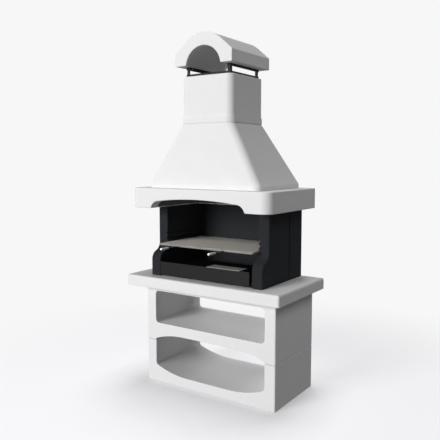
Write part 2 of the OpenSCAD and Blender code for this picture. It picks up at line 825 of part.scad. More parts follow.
module ember_grate() {
    color(BLACK) {
        for (i = [0 : grate_n])
            translate([grate_x0 + (grate_w - grate_bar - grate_n * grate_pitch) / 2 + i * grate_pitch,
                grate_y0, grate_z + grate_foot]) cube([grate_bar, grate_y1 - grate_y0, grate_h]);
        for (y = [grate_y0 + grate_foot_in, grate_y1 - grate_foot_in - grate_bar])
            translate([grate_x0, y, grate_z]) cube([grate_w, grate_bar, grate_foot + grate_h / 2]);
    }
}

lower_plinth();
plinth_mortar();
upper_plinth();
worktop_mortar();
worktop();
hearth_slab();
firebox_mortar();
left_side_wall();
right_side_wall();
wall_seam_mortar();
firebox_back();
rim_mortar();
hood_rim();
hood_mortar();
hood();
chimney_mortar();
chimney();
cap_base_frame();
cap_posts();
cap_top_rails();
base_frame_screws();
top_rail_screws();
chimney_cap();
grill_frame();
grill_bars();
grill_cross_bars();
left_handle();
right_handle();
left_grip();
right_grip();
tray_panel();
tray_pan();
tray_shelf();
ember_grate();
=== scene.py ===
"""Dresses a concrete garden barbecue: cast blocks with rubbed edges, a grill, a tray and a studio.

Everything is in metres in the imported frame, with X to the right, the front looking along -Y and Z up.
"""

import json
import math

import bmesh
import bpy
import numpy as np
from bpy.props import FloatProperty, FloatVectorProperty, IntProperty, PointerProperty
from mathutils import Matrix, Vector

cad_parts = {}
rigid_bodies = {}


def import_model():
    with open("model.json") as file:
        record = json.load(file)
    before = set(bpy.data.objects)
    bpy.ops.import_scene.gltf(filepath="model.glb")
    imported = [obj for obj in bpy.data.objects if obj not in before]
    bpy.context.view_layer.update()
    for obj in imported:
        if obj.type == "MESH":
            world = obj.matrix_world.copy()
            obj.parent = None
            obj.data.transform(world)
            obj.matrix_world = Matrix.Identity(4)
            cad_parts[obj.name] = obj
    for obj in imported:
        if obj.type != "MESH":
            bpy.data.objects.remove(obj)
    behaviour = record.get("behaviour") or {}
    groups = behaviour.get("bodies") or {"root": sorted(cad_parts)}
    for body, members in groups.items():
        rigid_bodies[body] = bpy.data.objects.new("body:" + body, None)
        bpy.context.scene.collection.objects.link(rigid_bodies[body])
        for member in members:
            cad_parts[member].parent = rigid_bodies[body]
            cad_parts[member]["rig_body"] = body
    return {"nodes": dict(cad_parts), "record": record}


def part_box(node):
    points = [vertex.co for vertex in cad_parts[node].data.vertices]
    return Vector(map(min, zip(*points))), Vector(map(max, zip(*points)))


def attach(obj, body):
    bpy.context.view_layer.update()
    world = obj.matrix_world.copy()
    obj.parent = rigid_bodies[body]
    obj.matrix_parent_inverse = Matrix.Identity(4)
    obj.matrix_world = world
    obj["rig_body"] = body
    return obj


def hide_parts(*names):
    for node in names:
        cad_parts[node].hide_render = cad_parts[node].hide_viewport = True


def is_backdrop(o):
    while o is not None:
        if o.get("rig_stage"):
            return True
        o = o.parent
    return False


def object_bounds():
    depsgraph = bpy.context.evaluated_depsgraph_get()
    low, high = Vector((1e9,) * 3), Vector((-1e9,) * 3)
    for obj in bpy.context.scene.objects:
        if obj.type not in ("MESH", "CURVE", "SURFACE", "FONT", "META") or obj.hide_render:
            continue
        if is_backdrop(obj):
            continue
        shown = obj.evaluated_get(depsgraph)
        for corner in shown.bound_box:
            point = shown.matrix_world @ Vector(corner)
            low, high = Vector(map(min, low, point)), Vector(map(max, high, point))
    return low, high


bl_info = {
    "name": "Concrete barbecue",
    "version": (1, 0, 0),
    "blender": (4, 5, 0),
    "location": "View3D > Sidebar > Barbecue",
    "description": "Builds a concrete garden barbecue around its packed frame",
    "category": "Object",
}

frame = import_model()
cad_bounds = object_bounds()
SLOT_OF = {part["node"]: part["material_slot"] for part in frame["record"]["subparts"]}
MM = 0.001
# Two points closer than this are one point
TINY = 0.01 * MM
# Radius of the flue's upright corners
FLUE_CORNER = 2 * MM
# Edges that turn by more than this are rubbed round
RUBBED_FROM = math.radians(38)
# Shading breaks at edges that still turn by more than this
SHARP_FROM = math.radians(40)
# The corners of a rectangle, anticlockwise from the rear right, seen from above
CORNERS = ((1, 1), (-1, 1), (-1, -1), (1, -1))
# Beds between dark castings, laid with dark mortar
DARK_BEDS = ("firebox_mortar", "wall_seam_mortar", "rim_mortar")
FINISHES = {}


def linear(colour):
    """An sRGB hex colour, such as #ecebe8, as linear red, green, blue and alpha."""
    tones = [int(colour[i : i + 2], 16) / 255 for i in (1, 3, 5)]
    return [t / 12.92 if t <= 0.04045 else ((t + 0.055) / 1.055) ** 2.4 for t in tones] + [1.0]


def length(name, description, mm):
    """A length property, its default given in millimetres."""
    return FloatProperty(
        name=name, description=description, default=mm * MM, min=0, precision=4, unit="LENGTH")


def angle(name, description, degrees):
    """An angle property, its default given in degrees."""
    return FloatProperty(name=name, description=description, default=math.radians(degrees), subtype="ANGLE")


def power(name, description, watts):
    """A lamp power in watts."""
    return FloatProperty(name=name, description=description, default=watts, min=0, unit="POWER")


def colour(name, description, tone):
    """A colour property, its default given as an sRGB hex colour."""
    return FloatVectorProperty(
        name=name, description=description, default=linear(tone), size=4, min=0, max=1, subtype="COLOR")


class PlinthSizes(bpy.types.PropertyGroup):
    """Sizes of the two plinth blocks and the worktop that the frame doesn't give."""

    arris: length("Rubbed edge", "Radius of the blocks' rubbed edges", 3)
    corner: length("Plinth corner", "Radius of the plinth's upright corners", 8)
    wall: length("Plinth wall", "Thickness of the plinth's side walls", 69)
    floor: length("Floor", "Thickness of the hollow floor at its flat middle", 61)
    floor_flat: length("Floor flat", "Half width of the floor's flat middle", 150)
    floor_rise: length("Floor rise", "Rise of the hollow floor up to the side walls", 49)
    floor_fillet: length("Floor fillet", "Radius where the hollow floor meets the side walls", 22)
    shelf: length("Shelf height", "Height of the shelf above the upper block's underside", 112)
    arch_rise: length("Arch rise", "Rise of the flat arch under the shelf", 47)
    arch_flat: length("Arch flat", "Half width of the arch's flat middle", 184)
    arch_foot: length("Arch foot", "Height at which the arch leaves the side walls", 10)
    top: length("Upper top", "Thickness of the upper block's top", 39)
    opening: length("Opening corner", "Radius in the corners of the upper opening", 24)
    worktop_corner: length("Worktop corner", "Radius of the worktop's upright corners", 12)
    worktop_edge: length("Worktop edge", "Radius along the worktop's upper edge", 12)


class FireboxSizes(bpy.types.PropertyGroup):
    """Sizes of the dark firebox castings."""

    arris: length("Rubbed edge", "Radius of the castings' rubbed edges", 3)
    step_back: length("Step back", "How far the walls step back above the tray", 74)
    step_z: length("Step start", "Height of the step's start above the walls' foot", 93)
    step_h: length("Step height", "Height of the curved step", 104)
    outer_edge: length("Outer edge", "Radius of the walls' outer front edges", 12)
    inner_edge: length("Inner edge", "Radius of the walls' inner front edges", 6)
    groove_count: IntProperty(
        name="Grooves", description="Number of rack grooves in each side wall", default=4, min=1
    )
    groove_z: length("Lowest groove", "Height of the lowest groove above the walls' foot", 154)
    groove_pitch: length("Groove spacing", "Distance from groove to groove", 32)
    groove_h: length("Groove height", "Height of a groove", 11)
    groove_depth: length("Groove depth", "Depth of a groove", 8)
    groove_edge: length("Groove edge", "Radius of the grooves' edges", 1.2)
    back: length("Back", "Thickness of the back piece", 28)
    wing: length("Wing", "Thickness of the back piece's wings", 62)
    back_corner: length("Back corner", "Radius of the back piece's rear corners", 10)
    seam_edge: length("Seam edge", "Chamfer along the upright seam between walls and back piece", 7)
    inner_corner: length("Inner corner", "Radius in the back piece's inner corners", 8)


class HoodSizes(bpy.types.PropertyGroup):
    """Sizes of the rim, the hood, the chimney and its cap."""

    arris: length("Rubbed edge", "Radius of the blocks' rubbed edges", 3)
    rim_edge: length("Rim edge", "Radius of the rim's lower and upper edges", 5)
    rim_front_corner: length("Rim front corner", "Radius of the rim's front corners", 58)
    rim_rear_corner: length("Rim rear corner", "Radius of the rim's rear corners", 14)
    rim_front: length("Rim front beam", "Thickness of the rim's front beam", 66)
    rim_rear: length("Rim rear beam", "Thickness of the rim's rear beam", 86)
    arch_h: length("Arch height", "Height of the front arch's crown above the rim's underside", 60)
    haunch: length("Haunch width", "Width of the arch's round haunches", 55)
    crown_rise: length("Crown rise", "Height of the crown's own curve", 16)
    skirt: length("Skirt", "Height of the upright band at the hood's foot", 22)
    knee: length("Knee", "Radius where the skirt turns into the slope", 26)
    neck: length("Neck", "Height of the hood's neck", 34)
    neck_lip: length("Neck lip", "How far the neck stands proud of the chimney", 5)
    crease: length("Crease", "Depth and height of the groove where the slope meets the neck", 6)
    joint: length("Pointed joint", "What stays open of the joint under the hood once it's pointed", 1.2)
    tight_arris: length("Tight edge", "Radius of the edges at the neck and at the pointed joints", 0.8)
    wall: length("Hood wall", "Wall thickness of the hood", 36)
    foot_corner: length("Foot corner", "Radius of the hood's corners at its foot", 43)
    chimney_wall: length("Chimney wall", "Wall thickness of the chimney", 50)
    chimney_corner: length("Chimney corner", "Radius of the chimney's upright edges", 40)
    cap_edge: length("Cap edge", "Radius of the cap's edges", 4)
    cap_side: length("Cap side", "Height of the cap's upright sides", 68)
    cap_crown: length("Cap crown", "Radius of the cap's crown", 185)
    cap_slope: angle("Cap slope", "Slope of the cap's flanks", 40.5)
    tunnel: length("Tunnel", "Radius of the smoke tunnel through the cap", 119)
    tunnel_drop: length("Tunnel drop", "How far the tunnel's axis lies under the cap", 15)


class SteelSizes(bpy.types.PropertyGroup):
    """Sizes of the cap's frame, the grill and the ember tray."""

    leg: length("Angle leg", "Width of the cap frame's legs", 20)
    rail: length("Rail", "Height of the frame rails' upright legs", 15)
    angle_t: length("Angle steel", "Thickness of the cap frame's steel", 3)
    root_fillet: length("Root fillet", "Radius in the angle steel's root", 2.5)
    screw: length("Screw", "Diameter of the cap frame's screws", 6)
    frame_rod: length("Frame rod", "Diameter of the grill frame's rod", 8)
    frame_bend: length("Frame bend", "Radius of the bends in the grill frame, to the rod's middle", 10)
    bar: length("Bar", "Diameter of the cooking bars", 5)
    bar_pitch: length("Bar spacing", "Distance from bar to bar", 14.5)
    handle: length("Handle rod", "Diameter of the handle rods", 7)
    weld: length("Weld", "Diameter of the weld spots where two rods cross", 5.2)
    sheet: length("Sheet", "Thickness of the tray's sheet", 2)
    bend: length("Sheet bend", "Outer radius of the tray's bends", 5)
    grate_bar: length("Grate bar", "Width of one bar of the ember grate", 9)
    grate_pitch: length("Grate spacing", "Distance from bar to bar of the ember grate", 24)
    grate_h: length("Grate height", "Height of the ember grate's bars", 14)
    grate_foot_in: length("Grate foot place", "Distance from the grate's ends to its cross feet", 20)
    grate_edge: length("Grate edge", "Radius of the cast bars' edges", 1.2)
    draft: length("Draft", "How much narrower a cast bar is at its underside, on each side", 1.2)


class FinishColours(bpy.types.PropertyGroup):
    """Colours of the finishes."""

    white: colour("White cement", "Fair-faced white concrete", "#eae9ea")
    charcoal: colour("Charcoal refractory", "Cast refractory concrete", "#292b2e")
    mortar: colour("Mortar", "Refractory adhesive in the beds", "#8c8a88")
    dark_mortar: colour("Dark mortar", "Charcoal-tinted adhesive round the firebox castings", "#161718")
    # Painted shade: a darker copy of the white concrete, drawn on the rim's inner faces for the shade under
    # the hood
    smoke: colour("Smoked concrete", "White concrete darkened by smoke", "#6b6b6c")
    rod: colour("Steel rod", "Blasted stainless rod of the cooking bars", "#dad5cf")
    # Painted shade: a darker copy of the cooking bars' rod, for the shaded frame, cross bars and handles
    frame_rod: colour("Frame rod", "Heat-dulled stainless rod of the frame and the handles", "#5f5c5a")
    bright: colour("Bright tube", "Brushed stainless tube", "#f2f0ed")
    sheet: colour("Steel sheet", "Mill-finish stainless sheet", "#a8a8a7")
    coat: colour("Powder coat", "Black powder coat on the cap's frame", "#121313")
    enamel: colour("Enamel", "Dark enamel on the ember tray", "#0f0f0f")
    iron: colour("Cast iron", "Bare cast iron of the ember grate", "#2b2a29")
    zinc: colour("Zinc", "Zinc-plated screws", "#b9bbbd")


class StudioSettings(bpy.types.PropertyGroup):
    """Camera, lamps and floor."""

    lamp_distance: length("Lamp distance", "Distance from the barbecue's middle to each lamp", 12000)
    lamp_size: length("Lamp size", "Width and height of each lamp", 5000)
    key_power: power("Key power", "Power of the key lamp", 1410)
    key_turn: angle("Key turn", "Turn of the key lamp to the left of the front", 15)
    key_lift: angle("Key lift", "Height of the key lamp above the horizon", 11)
    top_power: power("Top power", "Power of the lamp overhead", 295)
    top_lift: angle("Top lift", "Height of the lamp overhead above the horizon", 90)
    side_power: power("Side power", "Power of the lamp at the right", 335)
    side_turn: angle("Side turn", "Turn of the side lamp to the right of the front", 109)
    side_lift: angle("Side lift", "Height of the side lamp above the horizon", 44)
    rear_power: power("Rear power", "Power of the lamp behind at the left, for the views from the rear", 380)
    rear_turn: angle("Rear turn", "Turn of the rear lamp to the left of the front", 145)
    floor_power: power("Floor power", "Power of the lamp behind that lights only the floor", 1290)
    card_power: power("Card power", "Power of the reflector that lights only the grill", 1900)
    card_lift: angle("Card lift", "Height of the grill's reflector above the horizon", 28)
    floor_lamp_lift: angle("Floor lamp lift", "Height of the floor's lamp above the horizon behind", 84)
    floor: colour("Floor", "Colour of the floor to the camera", "#c4c4c8")
    floor_bounce: colour("Floor bounce", "Light that the floor sends back to the barbecue", "#707070")
    backdrop: colour("Backdrop", "Tone behind the barbecue", "#f7f7f7")
    floor_lift: FloatProperty(
        name="Floor lift", description="Light added to the floor that the camera sees", default=0.385, min=0)
    fade_start: length("Fade start", "Distance at which the floor starts to turn into the backdrop", 900)
    fade_end: length("Fade end", "Distance at which the floor has become the backdrop", 2600)
    camera_x: length("Camera right", "The camera's place to the right of the middle", 1928.4)
    camera_y: length("Camera front", "The camera's distance in front of the middle", 2884.6)
    camera_z: length("Camera height", "The camera's height above the ground", 1389.9)
    camera_turn: angle("Camera turn", "Turn of the view to the left", 34.0)
    camera_dip: angle("Camera dip", "Dip of the view below the horizon", 5.66)
    lens: FloatProperty(name="Lens", description="Focal length in millimetres", default=47.17, min=1)
    shift_x: FloatProperty(name="Shift right", description="Shift of the frame, in widths", default=-0.0039)
    shift_y: FloatProperty(name="Shift up", description="Shift of the frame, in widths", default=-0.0061)


def arc(centre, radius, start, end, steps):
    """Points on an arc between two angles in degrees, both ends included."""
    turns = [math.radians(start + (end - start) * i / steps) for i in range(steps + 1)]
    return [(centre[0] + radius * math.cos(t), centre[1] + radius * math.sin(t)) for t in turns]


def rounded(path, closed=True, steps=5):
    """A path's points with its corners rounded.

    Each corner is a point and a radius. A point may carry more values than two, which are blended alike;
    the radius is measured in the first two.
    """
    points = [np.array(point, float) for point, radius in path]
    out = []
    for i, (here, (_, radius)) in enumerate(zip(points, path)):
        if radius == 0 or (not closed and i in (0, len(path) - 1)):
            out.append(here)
            continue
        before = points[i - 1] - here
        after = points[(i + 1) % len(points)] - here
        before /= np.hypot(before[0], before[1])
        after /= np.hypot(after[0], after[1])
        turn = math.pi - math.acos(max(-1.0, min(1.0, float(before[:2] @ after[:2]))))
        setback = radius * math.tan(turn / 2)
        for k in range(steps + 1):
            t = k / steps
            first, middle, last = (1 - t) ** 2, 2 * t * (1 - t) * math.cos(turn / 2), t * t
            blend = first * (here + before * setback) + middle * here + last * (here + after * setback)
            out.append(blend / (first + middle + last))
    return out


def new_solid():
    """An empty solid that keeps, for each point, whether it lies on a rubbed edge."""
    solid = bmesh.new()
    solid.verts.layers.float.new("arris")
    return solid


# Where a point goes whose outline is drawn in u and v, at s along the axis
AXES = {
    "x": lambda u, v, s: (s, u, v),
    "y": lambda u, v, s: (u, s, v),
    "z": lambda u, v, s: (u, v, s),
}


def prism(solid, outline, start, end, axis, half=False):
    """Extrudes an outline along an axis.

    A half outline's stretches on x = 0 stay open, and it is mirrored there.
    """
    ends = [[solid.verts.new(AXES[axis](u, v, s)) for u, v in outline] for s in (start, end)]
    solid.faces.new(ends[0])
    solid.faces.new(ends[1][::-1])
    for i in range(len(outline)):
        j = (i + 1) % len(outline)
        if half and abs(outline[i][0]) < TINY and abs(outline[j][0]) < TINY:
            continue
        solid.faces.new((ends[0][i], ends[0][j], ends[1][j], ends[1][i]))
    if half:
        mirror_half(solid)


def mirror_half(solid):
    """Adds the mirror image across x = 0 and joins the two halves."""
    geometry = solid.verts[:] + solid.edges[:] + solid.faces[:]
    bmesh.ops.mirror(solid, geom=geometry, axis="X", merge_dist=TINY)


def loft(solid, rings, closed=False):
    """Joins rings of equally many points; an open row of rings gets a face at each end."""
    rows = [[solid.verts.new(point) for point in ring] for ring in rings]
    for low, high in zip(rows, rows[1:] + rows[:1] if closed else rows[1:]):
        for i in range(len(low)):
            j = (i + 1) % len(low)
            solid.faces.new((low[i], low[j], high[j], high[i]))
    if not closed:
        solid.faces.new(rows[0][::-1])
        solid.faces.new(rows[-1])


def level(station, steps=6):
    """A level rounded rectangle.

    Its station is its half width, height, half depth, middle y and corner radius.
    """
    half_w, z, half_d, y, corner = station
    ring = []
    for quarter, (side, end) in enumerate(CORNERS):
        centre = (side * (half_w - corner), y + end * (half_d - corner))
        ring += [(u, v, z) for u, v in arc(centre, corner, 90 * quarter, 90 * quarter + 90, steps)]
    return ring


def stack(path, turns=6, closed=True, steps=5):
    """A solid through level stations, each given with the radius that rounds it into the next."""
    solid = new_solid()
    loft(solid, [level(station, turns) for station in rounded(path, closed, steps)], closed)
    return solid


def plan_of(low, high):
    """A box's half width, half depth and middle y."""
    return (high.x - low.x) / 2, (high.y - low.y) / 2, (low.y + high.y) / 2


def soft_block(low, high, corner, lower, upper):
    """A block with rounded upright corners and its lower and upper edges rounded by their own radii."""
    half_w, half_d, y = plan_of(low, high)
    inset = (max(lower, upper) + corner) / 2
    solid = stack([
        ((half_w - inset, low.z, half_d - inset, y, corner - inset), 0),
        ((half_w, low.z, half_d, y, corner), lower),
        ((half_w, high.z, half_d, y, corner), upper),
        ((half_w - inset, high.z, half_d - inset, y, corner - inset), 0),
    ], closed=False)
    bmesh.ops.translate(solid, verts=solid.verts[:], vec=((high.x + low.x) / 2, 0, 0))
    return solid


def soften(solid, radius, steps=3, keep=lambda edge: True):
    """Rounds the sharp edges that keep picks, and marks the points on the rounding."""
    bmesh.ops.recalc_face_normals(solid, faces=solid.faces[:])
    sharp = [e for e in solid.edges if len(e.link_faces) == 2 and e.calc_face_angle() > RUBBED_FROM]
    made = bmesh.ops.bevel(
        solid,
        geom=[edge for edge in sharp if keep(edge)],
        offset=radius,
        segments=steps,
        profile=0.5,
        affect="EDGES",
        clamp_overlap=False,
    )
    arris = solid.verts.layers.float["arris"]
    faces = set(made["faces"])
    for vert in made["verts"]:
        if all(face in faces for face in vert.link_faces):
            vert[arris] = 1.0


def upright(edge):
    """Whether an edge stands upright."""
    along = edge.verts[1].co - edge.verts[0].co
    return abs(along.z) > 0.9 * along.length


def rod(solid, path, diameter, closed=False, sides=12):
    """A round rod along a path. Its free ends are domed."""
    points = [Vector(point) for point in path]
    radius = diameter / 2
    stops = []
    for i, here in enumerate(points):
        ahead = points[(i + 1) % len(points)] if closed or i + 1 < len(points) else here
        behind = points[i - 1] if closed or i > 0 else here
        stops.append((here, (ahead - behind).normalized(), radius))
    if not closed:
        dome = [(math.sin(math.radians(a)), math.cos(math.radians(a))) for a in (75, 50, 25)]
        first, last = stops[0], stops[-1]
        stops[0] = (first[0] + first[1] * radius, first[1], radius)
        stops[-1] = (last[0] - last[1] * radius, last[1], radius)
        start = [(first[0] + first[1] * radius * (1 - s), first[1], radius * c) for s, c in dome]
        end = [(last[0] - last[1] * radius * (1 - s), last[1], radius * c) for s, c in dome]
        stops = start + stops + end[::-1]
    rings = []
    for here, way, reach in stops:
        across = way.cross(Vector((0, 0, 1)) if abs(way.z) < 0.9 else Vector((0, 1, 0))).normalized()
        above = across.cross(way)
        turns = [2 * math.pi * k / sides for k in range(sides)]
        rings.append([here + (across * math.cos(t) + above * math.sin(t)) * reach for t in turns])
    loft(solid, rings, closed)


def lathe(solid, profile, centre, axis="z", up=1, sides=24):
    """Turns a profile of radius and height about an axis through the centre."""
    turns = [2 * math.pi * k / sides for k in range(sides)]
    rings = []
    for radius, s in profile:
        rings.append([
            centre + Vector(AXES[axis](radius * math.cos(t), radius * math.sin(t), up * s)) for t in turns])
    loft(solid, rings)


def feed(tree, socket, value):
    """Sets an input to a value, or links it to an output or to a node's first output in use."""
    if isinstance(value, bpy.types.Node):
        value = next(output for output in value.outputs if output.enabled)
    if isinstance(value, bpy.types.NodeSocket):
        tree.links.new(value, socket)
    else:
        socket.default_value = value


def put(tree, kind, inputs=(), **settings):
    """Adds a node with its settings and what feeds its inputs."""
    node = tree.nodes.new(kind)
    for name, value in settings.items():
        setattr(node, name, value)
    for name, value in dict(inputs).items():
        feed(tree, node.inputs[name], value)
    return node


def new_finish(name):
    """A material with its node tree, its shader and the place on the object that its patterns follow."""
    material = bpy.data.materials.new(name)
    material.use_nodes = True
    tree = material.node_tree
    shader = tree.nodes["Principled BSDF"]
    place = put(tree, "ShaderNodeTexCoord").outputs["Object"]
    return material, tree, shader, place


def shade(tone, factor):
    """A colour made lighter or darker by a factor."""
    return [min(1.0, part * factor) for part in tone[:3]] + [1.0]


def cast_concrete(name, tone, cloud, pit, rub, roughness, sheen, grain_depth):
    """Concrete cast in a smooth mould: cloudy tone, sand grain, a few air holes and rubbed edges.

    The cloud, the holes and the rubbed edges are factors on the tone, and the grain's depth is in
    millimetres. The grain gives the eye a dry, slightly sandy sheen.
    """
    material, tree, shader, place = new_finish(name)
    # Clouds of laitance 90 mm across; the sand is 0.5 mm, drawn at 2 mm so that it shows
    clouds = put(tree, "ShaderNodeTexNoise", {"Vector": place, "Scale": 1 / (90 * MM), "Detail": 4.0})
    grain = put(tree, "ShaderNodeTexNoise", {"Vector": place, "Scale": 1 / (2 * MM), "Detail": 3.0})
    # Air holes of 1 to 2 mm on a 26 mm spacing, only where the patches below allow them
    holes = put(tree, "ShaderNodeTexVoronoi", {"Vector": place, "Scale": 1 / (26 * MM)})
    patches = put(tree, "ShaderNodeTexNoise", {"Vector": place, "Scale": 1 / (60 * MM), "Detail": 1.0})
    hole_shape = put(tree, "ShaderNodeMapRange", {
        "Value": holes, "From Min": 0.03, "From Max": 0.055, "To Min": 1.0, "To Max": 0.0})
    hole_patch = put(tree, "ShaderNodeMapRange", {"Value": patches, "From Min": 0.52, "From Max": 0.6})
    hole = put(tree, "ShaderNodeMath", {0: hole_shape, 1: hole_patch}, operation="MULTIPLY")
    base = put(tree, "ShaderNodeMix", {
        "Factor": clouds, "A": shade(tone, cloud), "B": shade(tone, 2 - cloud)}, data_type="RGBA")
    speckle = put(tree, "ShaderNodeMapRange", {
        "Value": grain, "From Min": 0.3, "From Max": 0.7, "To Min": 0.97, "To Max": 1.03})
    sanded = put(tree, "ShaderNodeVectorMath", {0: base, "Scale": speckle}, operation="SCALE")
    edges = put(tree, "ShaderNodeAttribute", attribute_name="arris").outputs["Fac"]
    rubbed = put(tree, "ShaderNodeMix", {
        "Factor": edges, "A": sanded, "B": shade(tone, rub)}, data_type="RGBA")
    holed = put(tree, "ShaderNodeMix", {
        "Factor": hole, "A": rubbed, "B": shade(tone, pit)}, data_type="RGBA")
    grain_bump = put(tree, "ShaderNodeBump", {
        "Height": grain, "Strength": 0.5, "Distance": grain_depth * MM})
    hole_bump = put(tree, "ShaderNodeBump", {
        "Height": hole, "Strength": 1.0, "Distance": 1 * MM, "Normal": grain_bump}, invert=True)
    rough = put(tree, "ShaderNodeMapRange", {
        "Value": grain, "From Min": 0.2, "From Max": 0.8, "To Min": roughness - 0.06,
        "To Max": roughness + 0.06})
    shader.inputs["Specular IOR Level"].default_value = sheen
    for socket, node in {"Base Color": holed, "Roughness": rough, "Normal": hole_bump}.items():
        feed(tree, shader.inputs[socket], node)
    return material


def white_cement_concrete(tones):
    """White cement concrete from a smooth mould, lightly rubbed: bright and matt, barely clouded."""
    return cast_concrete(
        "white_cement_concrete", tones.white, cloud=0.975, pit=0.72, rub=1.02, roughness=0.82,
        sheen=0.15, grain_depth=0.12)


def charcoal_refractory(tones):
    """Charcoal refractory concrete, cast: blue-black, drier and greyer along its edges."""
    return cast_concrete(
        "charcoal_refractory_concrete", tones.charcoal, cloud=0.86, pit=0.5, rub=1.35, roughness=0.8,
        sheen=0.08, grain_depth=0.2)


def rim_shade_concrete(tones):
    """The same white concrete drawn darker inside the rim, as painted shade under the hood."""
    return cast_concrete(
        "rim_shade_concrete", tones.smoke, cloud=0.9, pit=0.7, rub=1.0, roughness=0.9, sheen=0.1,
        grain_depth=0.12)


def bedding_mortar(tones):
    """Grey refractory adhesive squeezed flat in the beds: coarse and dull."""
    return cast_concrete(
        "bedding_mortar", tones.mortar, cloud=0.9, pit=0.6, rub=1.0, roughness=0.92, sheen=0.2,
        grain_depth=0.3)


def charcoal_mortar(tones):
    """The same adhesive tinted with charcoal, for the joints of the dark castings."""
    return cast_concrete(
        "charcoal_mortar", tones.dark_mortar, cloud=0.9, pit=0.6, rub=1.0, roughness=0.92, sheen=0.1,
        grain_depth=0.3)


def worked_metal(name, tone, roughness, spread, marks_mm, dent, depth=0, metallic=0.0, sheen=0.5):
    """Metal whose surface shows fine marks, their size in millimetres along X, Y and Z.

    The marks vary the tone by spread and the roughness a little. In millimetres, dent is the depth of the
    marks and depth that of a slow waviness.
    """
    material, tree, shader, place = new_finish(name)
    stretched = put(tree, "ShaderNodeMapping", {
        "Vector": place, "Scale": [1 / (size * MM) for size in marks_mm]})
    marks = put(tree, "ShaderNodeTexNoise", {"Vector": stretched, "Scale": 1.0, "Detail": 3.0})
    patches = put(tree, "ShaderNodeTexNoise", {"Vector": place, "Scale": 1 / (35 * MM), "Detail": 2.0})
    both = put(tree, "ShaderNodeMix", {"Factor": 0.5, "A": marks, "B": patches}, data_type="FLOAT")
    tint = put(tree, "ShaderNodeMix", {
        "Factor": both, "A": shade(tone, 1 - spread), "B": shade(tone, 1 + spread)}, data_type="RGBA")
    rough = put(tree, "ShaderNodeMapRange", {
        "Value": both, "From Min": 0.3, "From Max": 0.7, "To Min": roughness - 0.05,
        "To Max": roughness + 0.07})
    fine = put(tree, "ShaderNodeBump", {"Height": marks, "Strength": 0.4, "Distance": dent * MM})
    slow = put(tree, "ShaderNodeBump", {
        "Height": patches, "Strength": 0.3, "Distance": depth * MM, "Normal": fine})
    shader.inputs["Metallic"].default_value = metallic
    shader.inputs["Specular IOR Level"].default_value = sheen
    for socket, node in {"Base Color": tint, "Roughness": rough, "Normal": slow}.items():
        feed(tree, shader.inputs[socket], node)
    return material


def drawn_stainless_rod(tones):
    """Drawn stainless rod, blasted: pale and dull, with die lines along the bars."""
    return worked_metal(
        "drawn_stainless_rod", tones.rod, roughness=0.55, spread=0.06, marks_mm=(1.5, 40, 1.5), dent=0.05)


def shade_darkened_rod(tones):
    """The same rod drawn darker as painted shade: the frame, the cross bars and the handles."""
    return worked_metal(
        "shade_darkened_rod", tones.frame_rod, roughness=0.6, spread=0.08, marks_mm=(40, 1.5, 1.5), dent=0.05,
        sheen=0.3)


def brushed_stainless_tube(tones):
    """Brushed stainless tube: bright, with a broad soft highlight."""
    return worked_metal(
        "brushed_stainless_tube", tones.bright, roughness=0.4, spread=0.03, marks_mm=(2, 30, 2), dent=0.01,
        metallic=0.5)


def mill_stainless_sheet(tones):
    """Mill-finish stainless sheet: cloudy grey with rolling lines along X."""
    return worked_metal(
        "mill_stainless_sheet", tones.sheet, roughness=0.5, spread=0.06, marks_mm=(60, 1.5, 1.5), dent=0.02,
        depth=0.1, metallic=0.4)


def powder_coated_steel(tones):
    """Black powder coat on steel: satin, with an orange peel of 2 mm."""
    return worked_metal(
        "powder_coated_steel", tones.coat, roughness=0.55, spread=0.08, marks_mm=(2, 2, 2), dent=0.05,
        sheen=0.2)


def enamelled_steel(tones):
    """Dark enamel on pressed steel: neutral black, half gloss, faintly wavy."""
    return worked_metal(
        "enamelled_steel", tones.enamel, roughness=0.5, spread=0.06, marks_mm=(3, 3, 3), dent=0.03,
        depth=0.2, sheen=0.2)


def sand_cast_iron(tones):
    """Sand-cast iron: nearly black, with the mould's 2 mm grain."""
    return worked_metal(
        "sand_cast_iron", tones.iron, roughness=0.7, spread=0.2, marks_mm=(2, 2, 2), dent=0.3, depth=0.3,
        metallic=1.0)


def zinc_plated_steel(tones):
    """Zinc-plated steel: pale grey with a fine crystalline sheen."""
    return worked_metal(
        "zinc_plated_steel", tones.zinc, roughness=0.35, spread=0.08, marks_mm=(1, 1, 1), dent=0.02,
        metallic=1.0)


def finish(make):
    """The material that a finish function makes, made once."""
    name = make.__name__
    if name not in FINISHES:
        FINISHES[name] = make(bpy.context.scene.barbecue_colours)
    return FINISHES[name]


def add_object(name, data):
    """Puts an object with this data into the scene."""
    made = bpy.data.objects.new(name, data)
    bpy.context.scene.collection.objects.link(made)
    return made


def piece(name, solid, make, node):
    """Turns a solid into a piece that stands for a CAD node, rides on its body and takes its finish."""
    bmesh.ops.recalc_face_normals(solid, faces=solid.faces[:])
    mesh = bpy.data.meshes.new(name)
    solid.to_mesh(mesh)
    solid.free()
    mesh.shade_smooth()
    mesh.set_sharp_from_angle(angle=SHARP_FROM)
    mesh.materials.append(finish(make))
    made = add_object(name, mesh)
    flats = made.modifiers.new("Flat faces stay flat", "WEIGHTED_NORMAL")
    flats.mode = "FACE_AREA"
    # How much more a large face counts than a small one, out of 100
    flats.weight = 80
    flats.keep_sharp = True
    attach(made, frame["nodes"][node]["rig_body"])
    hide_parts(node)
    return made


def raise_outline(outline, z):
    """An outline's points moved up by z."""
    return [(u, v + z) for u, v in outline]


def plinth_block(name, node, outline, sizes):
    """A plinth block from the right half of its front view, with rounded upright corners."""
    low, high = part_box(node)
    solid = new_solid()
    prism(solid, raise_outline(outline, low.z), low.y, high.y, "y", half=True)
    soften(solid, sizes.corner, 5, lambda e: upright(e) and abs(abs(e.verts[0].co.x) - high.x) < TINY)
    soften(solid, sizes.arris)
    piece(name, solid, white_cement_concrete, node)


